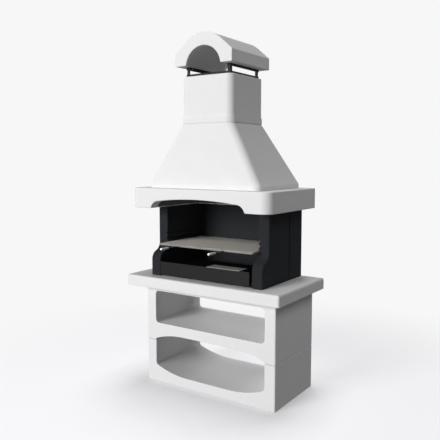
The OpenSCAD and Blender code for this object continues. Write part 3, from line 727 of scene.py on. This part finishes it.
def lower_block(sizes):
    """The lower block: a trough with a hollow floor and two side walls."""
    low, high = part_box("lower_plinth")
    inner, top = high.x - sizes.wall, high.z - low.z
    # Beside its flat middle the floor rises on one large radius, and a fillet leads into the wall
    side = inner - sizes.floor_flat
    hollow = (side**2 + sizes.floor_rise**2) / (2 * sizes.floor_rise)
    middle_z = sizes.floor + hollow
    fillet_x = inner - sizes.floor_fillet
    across = fillet_x - sizes.floor_flat
    fillet_z = middle_z - math.sqrt((hollow - sizes.floor_fillet) ** 2 - across**2)
    lean = math.degrees(math.atan2(across, middle_z - fillet_z)) - 90
    outline = [(0, sizes.floor)] + arc((sizes.floor_flat, middle_z), hollow, -90, lean, 24)
    outline += arc((fillet_x, fillet_z), sizes.floor_fillet, lean, 0, 7)[1:]
    outline += [(inner, top), (high.x, top), (high.x, 0), (0, 0)]
    plinth_block("cast_lower_block", "lower_plinth", outline, sizes)


def upper_block(sizes):
    """The upper block: a shelf over a flat arch, and an opening with round corners."""
    low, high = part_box("upper_plinth")
    inner, top = high.x - sizes.wall, high.z - low.z
    # Beside its flat middle the arch comes down to its feet on one large radius
    side, drop = inner - sizes.arch_flat, sizes.arch_rise - sizes.arch_foot
    arch = (side**2 + drop**2) / (2 * drop)
    spread = math.degrees(math.asin(side / arch))
    ceiling, corner = top - sizes.top, sizes.opening
    outline = [(0, sizes.arch_rise)]
    outline += arc((sizes.arch_flat, sizes.arch_rise - arch), arch, 90, 90 - spread, 24)
    outline += [(inner, 0), (high.x, 0), (high.x, top), (0, top), (0, ceiling)]
    outline += arc((inner - corner, ceiling - corner), corner, 90, 0, 8)
    outline += arc((inner - corner, sizes.shelf + corner), corner, 0, -90, 8)
    outline += [(0, sizes.shelf)]
    plinth_block("cast_upper_block", "upper_plinth", outline, sizes)


def build_worktop(sizes):
    """The worktop: a slab with a soft upper edge."""
    solid = soft_block(*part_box("worktop"), sizes.worktop_corner, sizes.arris, sizes.worktop_edge)
    piece("cast_worktop", solid, white_cement_concrete, "worktop")


def wall_front(sizes, z):
    """How far the side walls' front face stands back at a height above their foot, in an S of two arcs."""
    radius = (sizes.step_h**2 + sizes.step_back**2) / (4 * sizes.step_back)
    rise = z - sizes.step_z
    if rise <= 0:
        return 0.0
    if rise <= sizes.step_h / 2:
        return radius - math.sqrt(radius**2 - rise**2)
    if rise <= sizes.step_h:
        return sizes.step_back - radius + math.sqrt(radius**2 - (sizes.step_h - rise) ** 2)
    return sizes.step_back


def wall_levels(sizes, top, step_rings=28, clear=1.5 * MM):
    """Heights of the side wall's rings, each with whether it is cut back by a groove."""
    grooves = [sizes.groove_z + i * sizes.groove_pitch for i in range(sizes.groove_count)]
    levels = [(0.0, 0, False), (top, 0, False)]
    for z in grooves:
        roof = z + sizes.groove_h
        levels += [(z, 0, False), (z, 1, True), (roof, 0, True), (roof, 1, False)]
    for k in range(step_rings + 1):
        z = sizes.step_z + sizes.step_h * k / step_rings
        if all(abs(z - groove) > clear and abs(z - groove - sizes.groove_h) > clear for groove in grooves):
            inside = any(groove < z < groove + sizes.groove_h for groove in grooves)
            levels.append((z, 0, inside))
    return [(z, cut) for z, order, cut in sorted(levels)]


def side_wall(name, node, side, sizes):
    """A side wall that steps back in one curved sweep, with rack grooves open to the front."""
    low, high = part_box("right_side_wall")
    # Both walls are drawn from the right one; a groove runs out to the front with this radius
    groove_r = 2 * MM
    outer, seam = sizes.outer_edge, sizes.seam_edge
    rings = []
    for z, cut in wall_levels(sizes, high.z - low.z):
        front = low.y + wall_front(sizes, z)
        inner = low.x + (sizes.groove_depth if cut else 0)
        edge = groove_r if cut else sizes.inner_edge
        plan = [(high.x, high.y - seam), (high.x - seam, high.y)]
        plan += [(inner + seam, high.y), (inner, high.y - seam)]
        plan += arc((inner + edge, front + edge), edge, 180, 270, 4)
        plan += arc((high.x - outer, front + outer), outer, 270, 360, 8)
        rings.append([(side * x, y, low.z + z) for x, y in plan])
    solid = new_solid()
    loft(solid, rings)
    bmesh.ops.remove_doubles(solid, verts=solid.verts[:], dist=TINY)
    soften(solid, sizes.arris, 3, lambda e: any(
        all(abs(v.co.z - z) < TINY for v in e.verts) for z in (low.z, high.z)))
    soften(solid, sizes.groove_edge, 2, lambda e: all(
        low.z + TINY < v.co.z < high.z - TINY for v in e.verts))
    piece(name, solid, charcoal_refractory, node)


def firebox_back(sizes):
    """The back piece with its two wings."""
    low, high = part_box("firebox_back")
    inner, face = high.x - sizes.wing, high.y - sizes.back
    outline = [((0, high.y), 0), ((high.x, high.y), sizes.back_corner), ((high.x, low.y), 0)]
    outline += [((inner, low.y), 0), ((inner, face), sizes.inner_corner), ((0, face), 0)]
    solid = new_solid()
    prism(solid, rounded(outline), low.z, high.z, "z", half=True)
    soften(solid, sizes.arris)
    piece("cast_firebox_back", solid, charcoal_refractory, "firebox_back")


def hearth_slab(sizes):
    """The loose hearth slab under the tray."""
    solid = soft_block(*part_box("hearth_slab"), 1.5 * sizes.arris, sizes.arris, sizes.arris)
    piece("cast_hearth_slab", solid, charcoal_refractory, "hearth_slab")


def hood_rim(sizes):
    """The rim: a frame with a low arch in its front beam, from its right half."""
    low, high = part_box("hood_rim")
    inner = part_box("right_side_wall")[0].x
    front, rear = low.y + sizes.rim_front, high.y - sizes.rim_rear
    # The arch has a crown on one large radius and round haunches on a smaller one
    haunch_z = sizes.arch_h - sizes.crown_rise
    reach, crown = sizes.haunch, inner - sizes.haunch
    crown_r = (crown**2 + sizes.crown_rise**2) / (2 * sizes.crown_rise)
    haunch_r = (reach**2 + haunch_z**2) / (2 * haunch_z)
    haunch_end = 90 - math.degrees(math.asin(reach / haunch_r))
    spread = math.degrees(math.asin(crown / crown_r))
    arch = arc((0, sizes.arch_h - crown_r), crown_r, 90, 90 - spread, 20)
    arch += arc((crown, haunch_z - haunch_r), haunch_r, 90, haunch_end, 12)[1:]
    front_r, rear_r = sizes.rim_front_corner, sizes.rim_rear_corner
    outside = arc((high.x - front_r, low.y + front_r), front_r, -90, 0, 16)
    outside += arc((high.x - rear_r, high.y - rear_r), rear_r, 0, 90, 6) + [(0, high.y)]
    outer = [(x, low.y, z) for x, z in arch] + [(x, y, 0.0) for x, y in outside]
    inside = [(x, front, z) for x, z in arch] + [(inner, rear, 0.0), (0, rear, 0.0)]

    solid = new_solid()
    walls = []
    for path in (outer, inside):
        bottom = [solid.verts.new((x, y, low.z + max(z, 0.0))) for x, y, z in path]
        top = [solid.verts.new((x, y, high.z)) for x, y, z in path]
        for i in range(len(path) - 1):
            solid.faces.new((bottom[i], bottom[i + 1], top[i + 1], top[i]))
        walls.append((bottom, top))
    (outer_low, outer_high), (inner_low, inner_high) = walls
    last = len(arch) - 1
    for i in range(last):
        solid.faces.new((outer_low[i], outer_low[i + 1], inner_low[i + 1], inner_low[i]))
    solid.faces.new(outer_low[last:] + inner_low[last:][::-1])
    solid.faces.new(outer_high + inner_high[::-1])
    mirror_half(solid)
    soften(solid, sizes.rim_edge, 4)
    made = piece("cast_hood_rim", solid, white_cement_concrete, "hood_rim")
    # Painted shade: the faces inside the rim, between its beams and its beds, take the darker concrete for
    # the shade under the hood
    made.data.materials.append(finish(rim_shade_concrete))
    for face in made.data.polygons:
        x, y, z = face.center
        between_beams = front - TINY < y < rear + TINY
        between_beds = low.z + TINY < z < high.z - TINY
        if abs(x) < inner + TINY and between_beams and between_beds:
            face.material_index = 1


def hood_shell(sizes):
    """The hood: an upright skirt, a leaning pyramid and a neck, hollow all through.

    Its joint is pointed all but a thin line, so the skirt reaches down over the bed's edge.
    """
    low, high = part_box("hood")
    chimney_low, chimney_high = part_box("chimney")
    half_w, half_d, y = plan_of(low, high)
    chimney_w, chimney_d, chimney_y = plan_of(chimney_low, chimney_high)
    neck_w, neck_d = chimney_w + sizes.neck_lip, chimney_d + sizes.neck_lip
    flue_w, flue_d = chimney_w - sizes.chimney_wall, chimney_d - sizes.chimney_wall
    slope_z, neck_z = low.z + sizes.skirt, high.z - sizes.neck
    wall, corner, neck_r = sizes.wall, sizes.foot_corner, sizes.chimney_corner + sizes.neck_lip
    foot_z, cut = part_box("hood_mortar")[0].z + sizes.joint, sizes.crease
    # The groove's floor is nearly level, and its upper side runs back out to the neck
    deepest = neck_z - 0.85 * cut
    solid = stack([
        ((half_w, foot_z, half_d, y, corner), sizes.tight_arris),
        ((half_w, slope_z, half_d, y, corner), sizes.knee),
        ((neck_w, neck_z - cut, neck_d, chimney_y, neck_r), 0),
        ((neck_w - cut, deepest, neck_d - cut, chimney_y, neck_r - cut), 0),
        ((neck_w, neck_z, neck_d, chimney_y, neck_r), sizes.tight_arris),
        ((neck_w, high.z, neck_d, chimney_y, neck_r), sizes.tight_arris),
        ((flue_w, high.z, flue_d, chimney_y, FLUE_CORNER), sizes.arris),
        ((flue_w, neck_z, flue_d, chimney_y, FLUE_CORNER), 0),
        ((neck_w - wall, neck_z, neck_d - wall, chimney_y, FLUE_CORNER), 0),
        ((half_w - wall, slope_z, half_d - wall, y, corner - wall), sizes.knee),
        ((half_w - wall, foot_z, half_d - wall, y, corner - wall), sizes.arris),
    ], 8)
    piece("cast_hood", solid, white_cement_concrete, "hood")


def chimney_block(sizes):
    """The chimney block with its square flue. Its joint is pointed flush, so it covers the bed's edge."""
    low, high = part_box("chimney")
    foot_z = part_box("chimney_mortar")[0].z
    half_w, half_d, y = plan_of(low, high)
    wall, corner = sizes.chimney_wall, sizes.chimney_corner
    solid = stack([
        ((half_w, foot_z, half_d, y, corner), sizes.tight_arris),
        ((half_w, high.z, half_d, y, corner), sizes.arris),
        ((half_w - wall, high.z, half_d - wall, y, FLUE_CORNER), sizes.arris),
        ((half_w - wall, foot_z, half_d - wall, y, FLUE_CORNER), sizes.arris),
    ], 8)
    piece("cast_chimney", solid, white_cement_concrete, "chimney")


def chimney_cap(sizes):
    """The cap: a crowned block with a smoke tunnel through it, from its right half."""
    low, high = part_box("chimney_cap")
    crown_z, drop = high.z - low.z - sizes.cap_crown, sizes.tunnel_drop
    outline = arc((0, crown_z), sizes.cap_crown, 90, 90 - math.degrees(sizes.cap_slope), 16)
    outline += [(high.x, sizes.cap_side), (high.x, 0)]
    outline += arc((0, -drop), sizes.tunnel, math.degrees(math.asin(drop / sizes.tunnel)), 90, 28)
    solid = new_solid()
    prism(solid, raise_outline(outline, low.z), low.y, high.y, "y", half=True)
    soften(solid, sizes.cap_edge, 4)
    piece("cast_chimney_cap", solid, white_cement_concrete, "chimney_cap")


def angle_section(sizes, height):
    """The section of the cap frame's angle steel, one leg wide and of a height, its toes a little round."""
    toe, leg, thick = 0.8 * MM, sizes.leg, sizes.angle_t
    path = [((0, 0), toe), ((leg, 0), toe), ((leg, thick), toe)]
    path += [((thick, thick), sizes.root_fillet), ((thick, height), toe), ((0, height), toe)]
    return rounded(path, steps=3)


def base_ring(sizes):
    """The cap frame's base: a ring of angle steel, its upright legs round the outside."""
    low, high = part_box("cap_base_frame")
    half_w, half_d, y = plan_of(low, high)
    # Radius of the ring's own corners, dressed after welding
    mitre = 1.2 * MM
    section = angle_section(sizes, sizes.rail)[::-1]
    solid = new_solid()
    loft(solid, [level((half_w - u, low.z + v, half_d - u, y, mitre), 3) for u, v in section], closed=True)
    piece("angle_base_ring", solid, powder_coated_steel, "cap_base_frame")


def top_rails(sizes):
    """The two angle rails under the cap's side walls."""
    low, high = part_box("cap_top_rails")
    section = angle_section(sizes, high.z - low.z)
    solid = new_solid()
    for side in (-1, 1):
        prism(solid, [(side * (high.x - u), high.z - v) for u, v in section], low.y, high.y, "y")
    piece("angle_top_rails", solid, powder_coated_steel, "cap_top_rails")


def cap_posts(sizes):
    """The four angle posts of the cap's frame."""
    low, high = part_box("cap_posts")
    half_w, half_d, y = plan_of(low, high)
    section = angle_section(sizes, sizes.leg)
    solid = new_solid()
    for side, end in ((-1, -1), (-1, 1), (1, -1), (1, 1)):
        outline = [(side * (half_w - u), y + end * (half_d - v)) for u, v in section]
        prism(solid, outline, low.z, high.z, "z")
    piece("angle_posts", solid, powder_coated_steel, "cap_posts")


def frame_screws(name, node, up, sizes):
    """The four pan-head screws of one ring, each with a round recess in its head."""
    low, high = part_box(node)
    head_r, head_h, shank = sizes.screw, sizes.screw / 2, sizes.screw / 2
    reach = high.z - low.z - head_h
    seat = high.z - head_h if up > 0 else low.z + head_h
    # From the tip of the shank to the head's seat, over its dome and down into the recess
    profile = [(0.6 * shank, -reach), (shank, 2 * MM - reach), (shank, 0), (head_r, 0.2 * MM)]
    profile += [(head_r * across, head_h * along) for across, along in (
        (1, 0.45), (0.9, 0.8), (0.6, 1), (0.3, 1), (0.22, 0.5))]
    solid = new_solid()
    for x in (low.x + head_r, high.x - head_r):
        for y in (low.y + head_r, high.y - head_r):
            lathe(solid, profile, Vector((x, y, seat)), up=up)
    piece(name, solid, zinc_plated_steel, node)


def weld_spot(solid, place, diameter):
    """A flattened weld spot where two rods cross."""
    made = bmesh.ops.create_uvsphere(
        solid, u_segments=8, v_segments=6, radius=diameter / 2, matrix=Matrix.Diagonal((1, 1, 0.64, 1)))
    bmesh.ops.translate(solid, verts=made["verts"], vec=place)


def grill_frame(sizes):
    """The grill's frame: one rod bent round and closed."""
    low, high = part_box("grill_frame")
    half_w, half_d, y = plan_of(low, high)
    x, z, inset = (low.x + high.x) / 2, (low.z + high.z) / 2, sizes.frame_rod / 2
    path = [
        ((x + side * (half_w - inset), y + end * (half_d - inset)), sizes.frame_bend)
        for side, end in CORNERS]
    solid = new_solid()
    rod(solid, [(u, v, z) for u, v in rounded(path, steps=6)], sizes.frame_rod, closed=True)
    return piece("bent_grill_frame", solid, shade_darkened_rod, "grill_frame")


def rod_lines(node, sizes):
    """Where the axes of a node's first and last rods along X lie in Y."""
    low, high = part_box(node)
    return low.y + sizes.frame_rod / 2, high.y - sizes.frame_rod / 2


def grill_bars(sizes):
    """The cooking bars, each welded where it crosses the frame and the cross bars."""
    low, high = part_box("grill_bars")
    z, radius = (low.z + high.z) / 2, sizes.bar / 2
    count = round((high.x - low.x - sizes.bar) / sizes.bar_pitch) + 1
    crossings = rod_lines("grill_frame", sizes) + rod_lines("grill_cross_bars", sizes)
    solid = new_solid()
    for i in range(count):
        x = low.x + radius + i * sizes.bar_pitch
        rod(solid, [(x, low.y, z), (x, high.y, z)], sizes.bar, sides=10)
        for y in crossings:
            weld_spot(solid, (x, y, z - radius), sizes.weld)
    return piece("welded_grill_bars", solid, drawn_stainless_rod, "grill_bars")


def grill_cross_bars(sizes):
    """The two cross bars under the cooking bars."""
    low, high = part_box("grill_cross_bars")
    z = (low.z + high.z) / 2
    solid = new_solid()
    for y in rod_lines("grill_cross_bars", sizes):
        rod(solid, [(low.x, y, z), (high.x, y, z)], sizes.frame_rod)
    return piece("welded_cross_bars", solid, shade_darkened_rod, "grill_cross_bars")


def grill_handle(side, sizes):
    """A handle rod and the bright tube on its end."""
    low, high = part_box(f"{side}_handle")
    x, z = (low.x + high.x) / 2, (low.z + high.z) / 2
    solid = new_solid()
    rod(solid, [(x, low.y, z), (x, high.y, z)], sizes.handle, sides=16)
    weld_spot(solid, (x, high.y, z), 1.3 * sizes.weld)
    made = piece(f"{side}_handle_rod", solid, shade_darkened_rod, f"{side}_handle")

    # The tube has a domed end, a bore with a little play round the rod and a rounded mouth
    low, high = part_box(f"{side}_grip")
    play, mouth = 0.3 * MM, 0.8 * MM
    radius, bore = (high.x - low.x) / 2, sizes.handle / 2 + play
    start, end = low.y + radius, high.y
    dome = [math.radians(turn) for turn in (85, 60, 30, 0)]
    profile = [(radius * math.cos(t), start - radius * math.sin(t)) for t in dome]
    profile += [(radius, end - mouth), (radius - mouth, end), (bore, end), (bore, end - 4 * mouth)]
    solid = new_solid()
    lathe(solid, profile, Vector((x, 0, z)), "y")
    return made, piece(f"{side}_grip_tube", solid, brushed_stainless_tube, f"{side}_grip")


def tray_panel(sizes):
    """The tray's front: a folded panel with rounded edges."""
    low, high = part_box("tray_panel")
    # The sheet is folded back at the top and the ends, so they are rounder than the cut lower edge
    half_t = (high.y - low.y) / 2
    solid = soft_block(low, high, 0.9 * half_t, 0.3 * half_t, 0.8 * half_t)
    piece("folded_tray_panel", solid, enamelled_steel, "tray_panel")


def tray_pan(sizes):
    """The pan: pressed sheet with round corners, its rim dressed round."""
    low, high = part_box("tray_pan")
    half_w, half_d, y = plan_of(low, high)
    sheet, bend = sizes.sheet, sizes.bend
    # The floor is closed by faces this far in from the sides, with corners as good as square
    far, square = 3 * bend, 0.1 * MM
    solid = stack([
        ((half_w - far, low.z, half_d - far, y, square), 0),
        ((half_w, low.z, half_d, y, 2 * bend), bend),
        ((half_w, high.z, half_d, y, 2 * bend), 0.4 * sheet),
        ((half_w - sheet, high.z, half_d - sheet, y, 2 * bend - sheet), 0.4 * sheet),
        ((half_w - sheet, low.z + sheet, half_d - sheet, y, 2 * bend - sheet), bend - sheet),
        ((half_w - far, low.z + sheet, half_d - far, y, square), 0),
    ], closed=False, steps=4)
    bmesh.ops.translate(solid, verts=solid.verts[:], vec=((low.x + high.x) / 2, 0, 0))
    piece("pressed_tray_pan", solid, enamelled_steel, "tray_pan")


def tray_shelf(sizes):
    """The flat shelf: one sheet bent down at its rear into a leg."""
    low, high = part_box("tray_shelf")
    sheet, bend = sizes.sheet, sizes.bend
    outline = [((low.y, high.z - sheet), 0), ((low.y, high.z), 0), ((high.y, high.z), bend)]
    outline += [((high.y, low.z), 0), ((high.y - sheet, low.z), 0)]
    outline += [((high.y - sheet, high.z - sheet), bend - sheet)]
    sheared_edge = 0.4 * MM
    solid = new_solid()
    prism(solid, rounded(outline), low.x, high.x, "x")
    soften(solid, sheared_edge, 2)
    piece("bent_tray_shelf", solid, mill_stainless_sheet, "tray_shelf")


def ember_grate(sizes):
    """The cast ember grate: tapered bars on two cross feet."""
    low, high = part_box("ember_grate")
    bar, pitch = sizes.grate_bar, sizes.grate_pitch
    gaps = int((high.x - low.x - bar) / pitch)
    start = low.x + (high.x - low.x - bar - gaps * pitch) / 2
    base = high.z - sizes.grate_h
    bars = [start + i * pitch for i in range(gaps + 1)]
    feet = [low.y + sizes.grate_foot_in, high.y - sizes.grate_foot_in - bar]
    solid = new_solid()
    tapered_bars(solid, bars, (base, high.z), (low.y, high.y), "y", sizes)
    tapered_bars(solid, feet, (low.z, base + sizes.grate_h / 2), (low.x, high.x), "x", sizes)
    piece("cast_ember_grate", solid, sand_cast_iron, "ember_grate")


def tapered_bars(solid, places, heights, ends, axis, sizes):
    """Adds a row of cast bars, each narrower at its underside and rubbed along its edges."""
    (low, high), draft = heights, sizes.draft
    row = new_solid()
    for left in places:
        right = left + sizes.grate_bar
        prism(row, [(left + draft, low), (right - draft, low), (right, high), (left, high)], *ends, axis)
    soften(row, sizes.grate_edge, 2)
    mesh = bpy.data.meshes.new("row")
    row.to_mesh(mesh)
    row.free()
    solid.from_mesh(mesh)
    bpy.data.meshes.remove(mesh)


def lay_floor(studio):
    """A pale floor that keeps the shadow and turns into the backdrop further out."""
    # Half the floor's width in metres, far past the edge of any view
    reach = 20.0
    mesh = bpy.data.meshes.new("studio_floor")
    mesh.from_pydata([(side * reach, end * reach, 0) for side, end in CORNERS], [], [(0, 1, 2, 3)])
    floor = add_object("studio_floor", mesh)
    material, tree, shader, place = new_finish("matt_studio_floor")
    shader.inputs["Base Color"].default_value = studio.floor
    shader.inputs["Roughness"].default_value = 1.0
    shader.inputs["Specular IOR Level"].default_value = 0.0
    seen = put(tree, "ShaderNodeLightPath").outputs["Is Camera Ray"]
    glow = put(tree, "ShaderNodeEmission", {"Color": studio.backdrop, "Strength": studio.floor_lift})
    shadowed = put(tree, "ShaderNodeAddShader", {0: shader, 1: glow})
    distance = put(tree, "ShaderNodeVectorMath", {0: place}, operation="LENGTH")
    fade = put(
        tree, "ShaderNodeMapRange",
        {"Value": distance, "From Min": studio.fade_start, "From Max": studio.fade_end},
        interpolation_type="SMOOTHSTEP")
    backdrop = put(tree, "ShaderNodeEmission", {"Color": studio.backdrop, "Strength": 1.0})
    to_camera = put(tree, "ShaderNodeMixShader", {"Fac": fade, 1: shadowed, 2: backdrop})
    bounce = put(tree, "ShaderNodeEmission", {"Color": studio.floor_bounce, "Strength": 1.0})
    mixed = put(tree, "ShaderNodeMixShader", {"Fac": seen, 1: bounce, 2: to_camera})
    feed(tree, tree.nodes["Material Output"].inputs["Surface"], mixed)
    mesh.materials.append(material)
    floor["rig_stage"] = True
    return floor


def light_world(studio):
    """The backdrop's tone, where the camera or a glossy reflection sees it."""
    world = bpy.data.worlds.new("studio")
    bpy.context.scene.world = world
    world.use_nodes = True
    tree = world.node_tree
    tree.nodes.clear()
    rays = put(tree, "ShaderNodeLightPath").outputs
    seen = put(
        tree, "ShaderNodeMath", {0: rays["Is Camera Ray"], 1: rays["Is Glossy Ray"]}, operation="ADD")
    backdrop = put(tree, "ShaderNodeBackground", {"Color": studio.backdrop, "Strength": seen})
    put(tree, "ShaderNodeOutputWorld", {"Surface": backdrop})


def hang_lamp(name, watts, turn, lift, studio):
    """A large soft square lamp that faces the barbecue; it is turned to the left of the front."""
    middle = Vector((0, 0, (cad_bounds[0][2] + cad_bounds[1][2]) / 2))
    flat = math.cos(lift)
    way = Vector((-flat * math.sin(turn), -flat * math.cos(turn), math.sin(lift)))
    lamp = bpy.data.lights.new(name, "AREA")
    lamp.energy = watts
    lamp.shape = "SQUARE"
    lamp.size = studio.lamp_size
    holder = add_object(name, lamp)
    # A lamp shines along its own -Z
    facing = way.to_track_quat("Z", "Y").to_matrix().to_4x4()
    holder.matrix_world = Matrix.Translation(middle + way * studio.lamp_distance) @ facing
    return holder


def choose_lit(lamp, objects, choice):
    """Lets a lamp light only these objects, INCLUDE, or all but them, EXCLUDE; all still cast shadows."""
    lit = bpy.data.collections.new(f"lit_by_{lamp.name}")
    for each in objects:
        lit.objects.link(each)
    for entry in lit.collection_objects:
        entry.light_linking.link_state = choice
    lamp.light_linking.receiver_collection = lit


def set_camera(studio):
    """The camera at the photograph's angle."""
    data = bpy.data.cameras.new("camera")
    data.sensor_fit = "HORIZONTAL"
    data.sensor_width = 36
    data.lens = studio.lens
    data.shift_x = studio.shift_x
    data.shift_y = studio.shift_y
    camera = add_object("camera", data)
    camera.location = (studio.camera_x, -studio.camera_y, studio.camera_z)
    camera.rotation_euler = (math.pi / 2 - studio.camera_dip, 0, studio.camera_turn)
    bpy.context.scene.camera = camera


class BARBECUE_OT_studio(bpy.types.Operator):
    """Set the camera, the lamps and the floor"""

    bl_idname = "barbecue.studio"
    bl_label = "Studio"

    def execute(self, context):
        studio = context.scene.barbecue_studio
        set_camera(studio)
        light_world(studio)
        hang_lamp("key", studio.key_power, studio.key_turn, studio.key_lift, studio)
        top = hang_lamp("top", studio.top_power, 0, studio.top_lift, studio)
        side = hang_lamp("side", studio.side_power, -studio.side_turn, studio.side_lift, studio)
        floor = lay_floor(studio)
        behind = hang_lamp("floor", studio.floor_power, math.pi, studio.floor_lamp_lift, studio)
        choose_lit(behind, [floor], "INCLUDE")
        rear = hang_lamp("rear", studio.rear_power, studio.rear_turn, studio.key_lift, studio)
        for lamp in (top, side, rear):
            choose_lit(lamp, [floor], "EXCLUDE")
        context.scene.view_settings.view_transform = "Standard"
        return {"FINISHED"}


class BARBECUE_OT_plinth(bpy.types.Operator):
    """Cast the two plinth blocks"""

    bl_idname = "barbecue.plinth"
    bl_label = "Plinth blocks"

    def execute(self, context):
        for cast in (lower_block, upper_block):
            cast(context.scene.barbecue_plinth)
        return {"FINISHED"}


class BARBECUE_OT_worktop(bpy.types.Operator):
    """Cast the worktop"""

    bl_idname = "barbecue.worktop"
    bl_label = "Worktop"

    def execute(self, context):
        build_worktop(context.scene.barbecue_plinth)
        return {"FINISHED"}


class BARBECUE_OT_firebox(bpy.types.Operator):
    """Cast the firebox's side walls, its back and the hearth slab"""

    bl_idname = "barbecue.firebox"
    bl_label = "Firebox"

    def execute(self, context):
        sizes = context.scene.barbecue_firebox
        side_wall("cast_left_wall", "left_side_wall", -1, sizes)
        side_wall("cast_right_wall", "right_side_wall", 1, sizes)
        firebox_back(sizes)
        hearth_slab(sizes)
        return {"FINISHED"}


class BARBECUE_OT_hood(bpy.types.Operator):
    """Cast the rim, the hood, the chimney and the cap"""

    bl_idname = "barbecue.hood"
    bl_label = "Hood and chimney"

    def execute(self, context):
        for cast in (hood_rim, hood_shell, chimney_block, chimney_cap):
            cast(context.scene.barbecue_hood)
        return {"FINISHED"}


class BARBECUE_OT_cap_frame(bpy.types.Operator):
    """Weld the cap's frame from angle steel and screw it on"""

    bl_idname = "barbecue.cap_frame"
    bl_label = "Cap frame"

    def execute(self, context):
        sizes = context.scene.barbecue_steel
        base_ring(sizes)
        top_rails(sizes)
        cap_posts(sizes)
        frame_screws("base_ring_screws", "base_frame_screws", 1, sizes)
        frame_screws("top_rail_screws", "top_rail_screws", -1, sizes)
        return {"FINISHED"}


class BARBECUE_OT_mortar(bpy.types.Operator):
    """Colour the mortar beds"""

    bl_idname = "barbecue.mortar"
    bl_label = "Mortar beds"

    def execute(self, context):
        beds = {name: node for name, node in frame["nodes"].items() if SLOT_OF[name] == "mortar"}
        if not beds:
            raise RuntimeError("the frame has no mortar beds")
        for name, bed in beds.items():
            bed.data.materials.clear()
            bed.data.materials.append(finish(charcoal_mortar if name in DARK_BEDS else bedding_mortar))
        return {"FINISHED"}


class BARBECUE_OT_grill(bpy.types.Operator):
    """Weld the grill and its handles"""

    bl_idname = "barbecue.grill"
    bl_label = "Grill"

    def execute(self, context):
        sizes = context.scene.barbecue_steel
        made = [grill_frame(sizes), grill_bars(sizes), grill_cross_bars(sizes)]
        for side in ("left", "right"):
            made += grill_handle(side, sizes)
        studio = context.scene.barbecue_studio
        card = hang_lamp("grill_card", studio.card_power, studio.key_turn, studio.card_lift, studio)
        choose_lit(card, made, "INCLUDE")
        return {"FINISHED"}


class BARBECUE_OT_tray(bpy.types.Operator):
    """Fold the ember tray and cast its grate"""

    bl_idname = "barbecue.tray"
    bl_label = "Ember tray"

    def execute(self, context):
        for make in (tray_panel, tray_pan, tray_shelf, ember_grate):
            make(context.scene.barbecue_steel)
        return {"FINISHED"}


SETTINGS = {
    "barbecue_plinth": PlinthSizes,
    "barbecue_firebox": FireboxSizes,
    "barbecue_hood": HoodSizes,
    "barbecue_steel": SteelSizes,
    "barbecue_colours": FinishColours,
    "barbecue_studio": StudioSettings,
}
OPERATORS = (
    BARBECUE_OT_studio,
    BARBECUE_OT_plinth,
    BARBECUE_OT_worktop,
    BARBECUE_OT_firebox,
    BARBECUE_OT_hood,
    BARBECUE_OT_cap_frame,
    BARBECUE_OT_mortar,
    BARBECUE_OT_grill,
    BARBECUE_OT_tray,
)


class BARBECUE_PT_build(bpy.types.Panel):
    """Sizes, colours and steps of the barbecue"""

    bl_label = "Concrete barbecue"
    bl_space_type = "VIEW_3D"
    bl_region_type = "UI"
    bl_category = "Barbecue"

    def draw(self, context):
        for operator in OPERATORS:
            self.layout.operator(operator.bl_idname)
        for name, group in SETTINGS.items():
            box = self.layout.box()
            box.label(text=name.split("_")[1].capitalize())
            for key in group.__annotations__:
                box.prop(getattr(context.scene, name), key)


def register():
    for group in (*SETTINGS.values(), *OPERATORS, BARBECUE_PT_build):
        bpy.utils.register_class(group)
    for name, group in SETTINGS.items():
        setattr(bpy.types.Scene, name, PointerProperty(type=group))


def unregister():
    for name in SETTINGS:
        delattr(bpy.types.Scene, name)
    for group in (BARBECUE_PT_build, *OPERATORS, *SETTINGS.values()):
        bpy.utils.unregister_class(group)


def main():
    """Builds everything and works out the frame's box and the dressed box."""
    register()
    for operator in OPERATORS:
        getattr(bpy.ops.barbecue, operator.bl_idname.split(".")[1])()
    boxes = {"cad": cad_bounds, "visual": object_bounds()}
    boxes = {name: [list(corner) for corner in box] for name, box in boxes.items()}


if __name__ == "__main__":
    main()
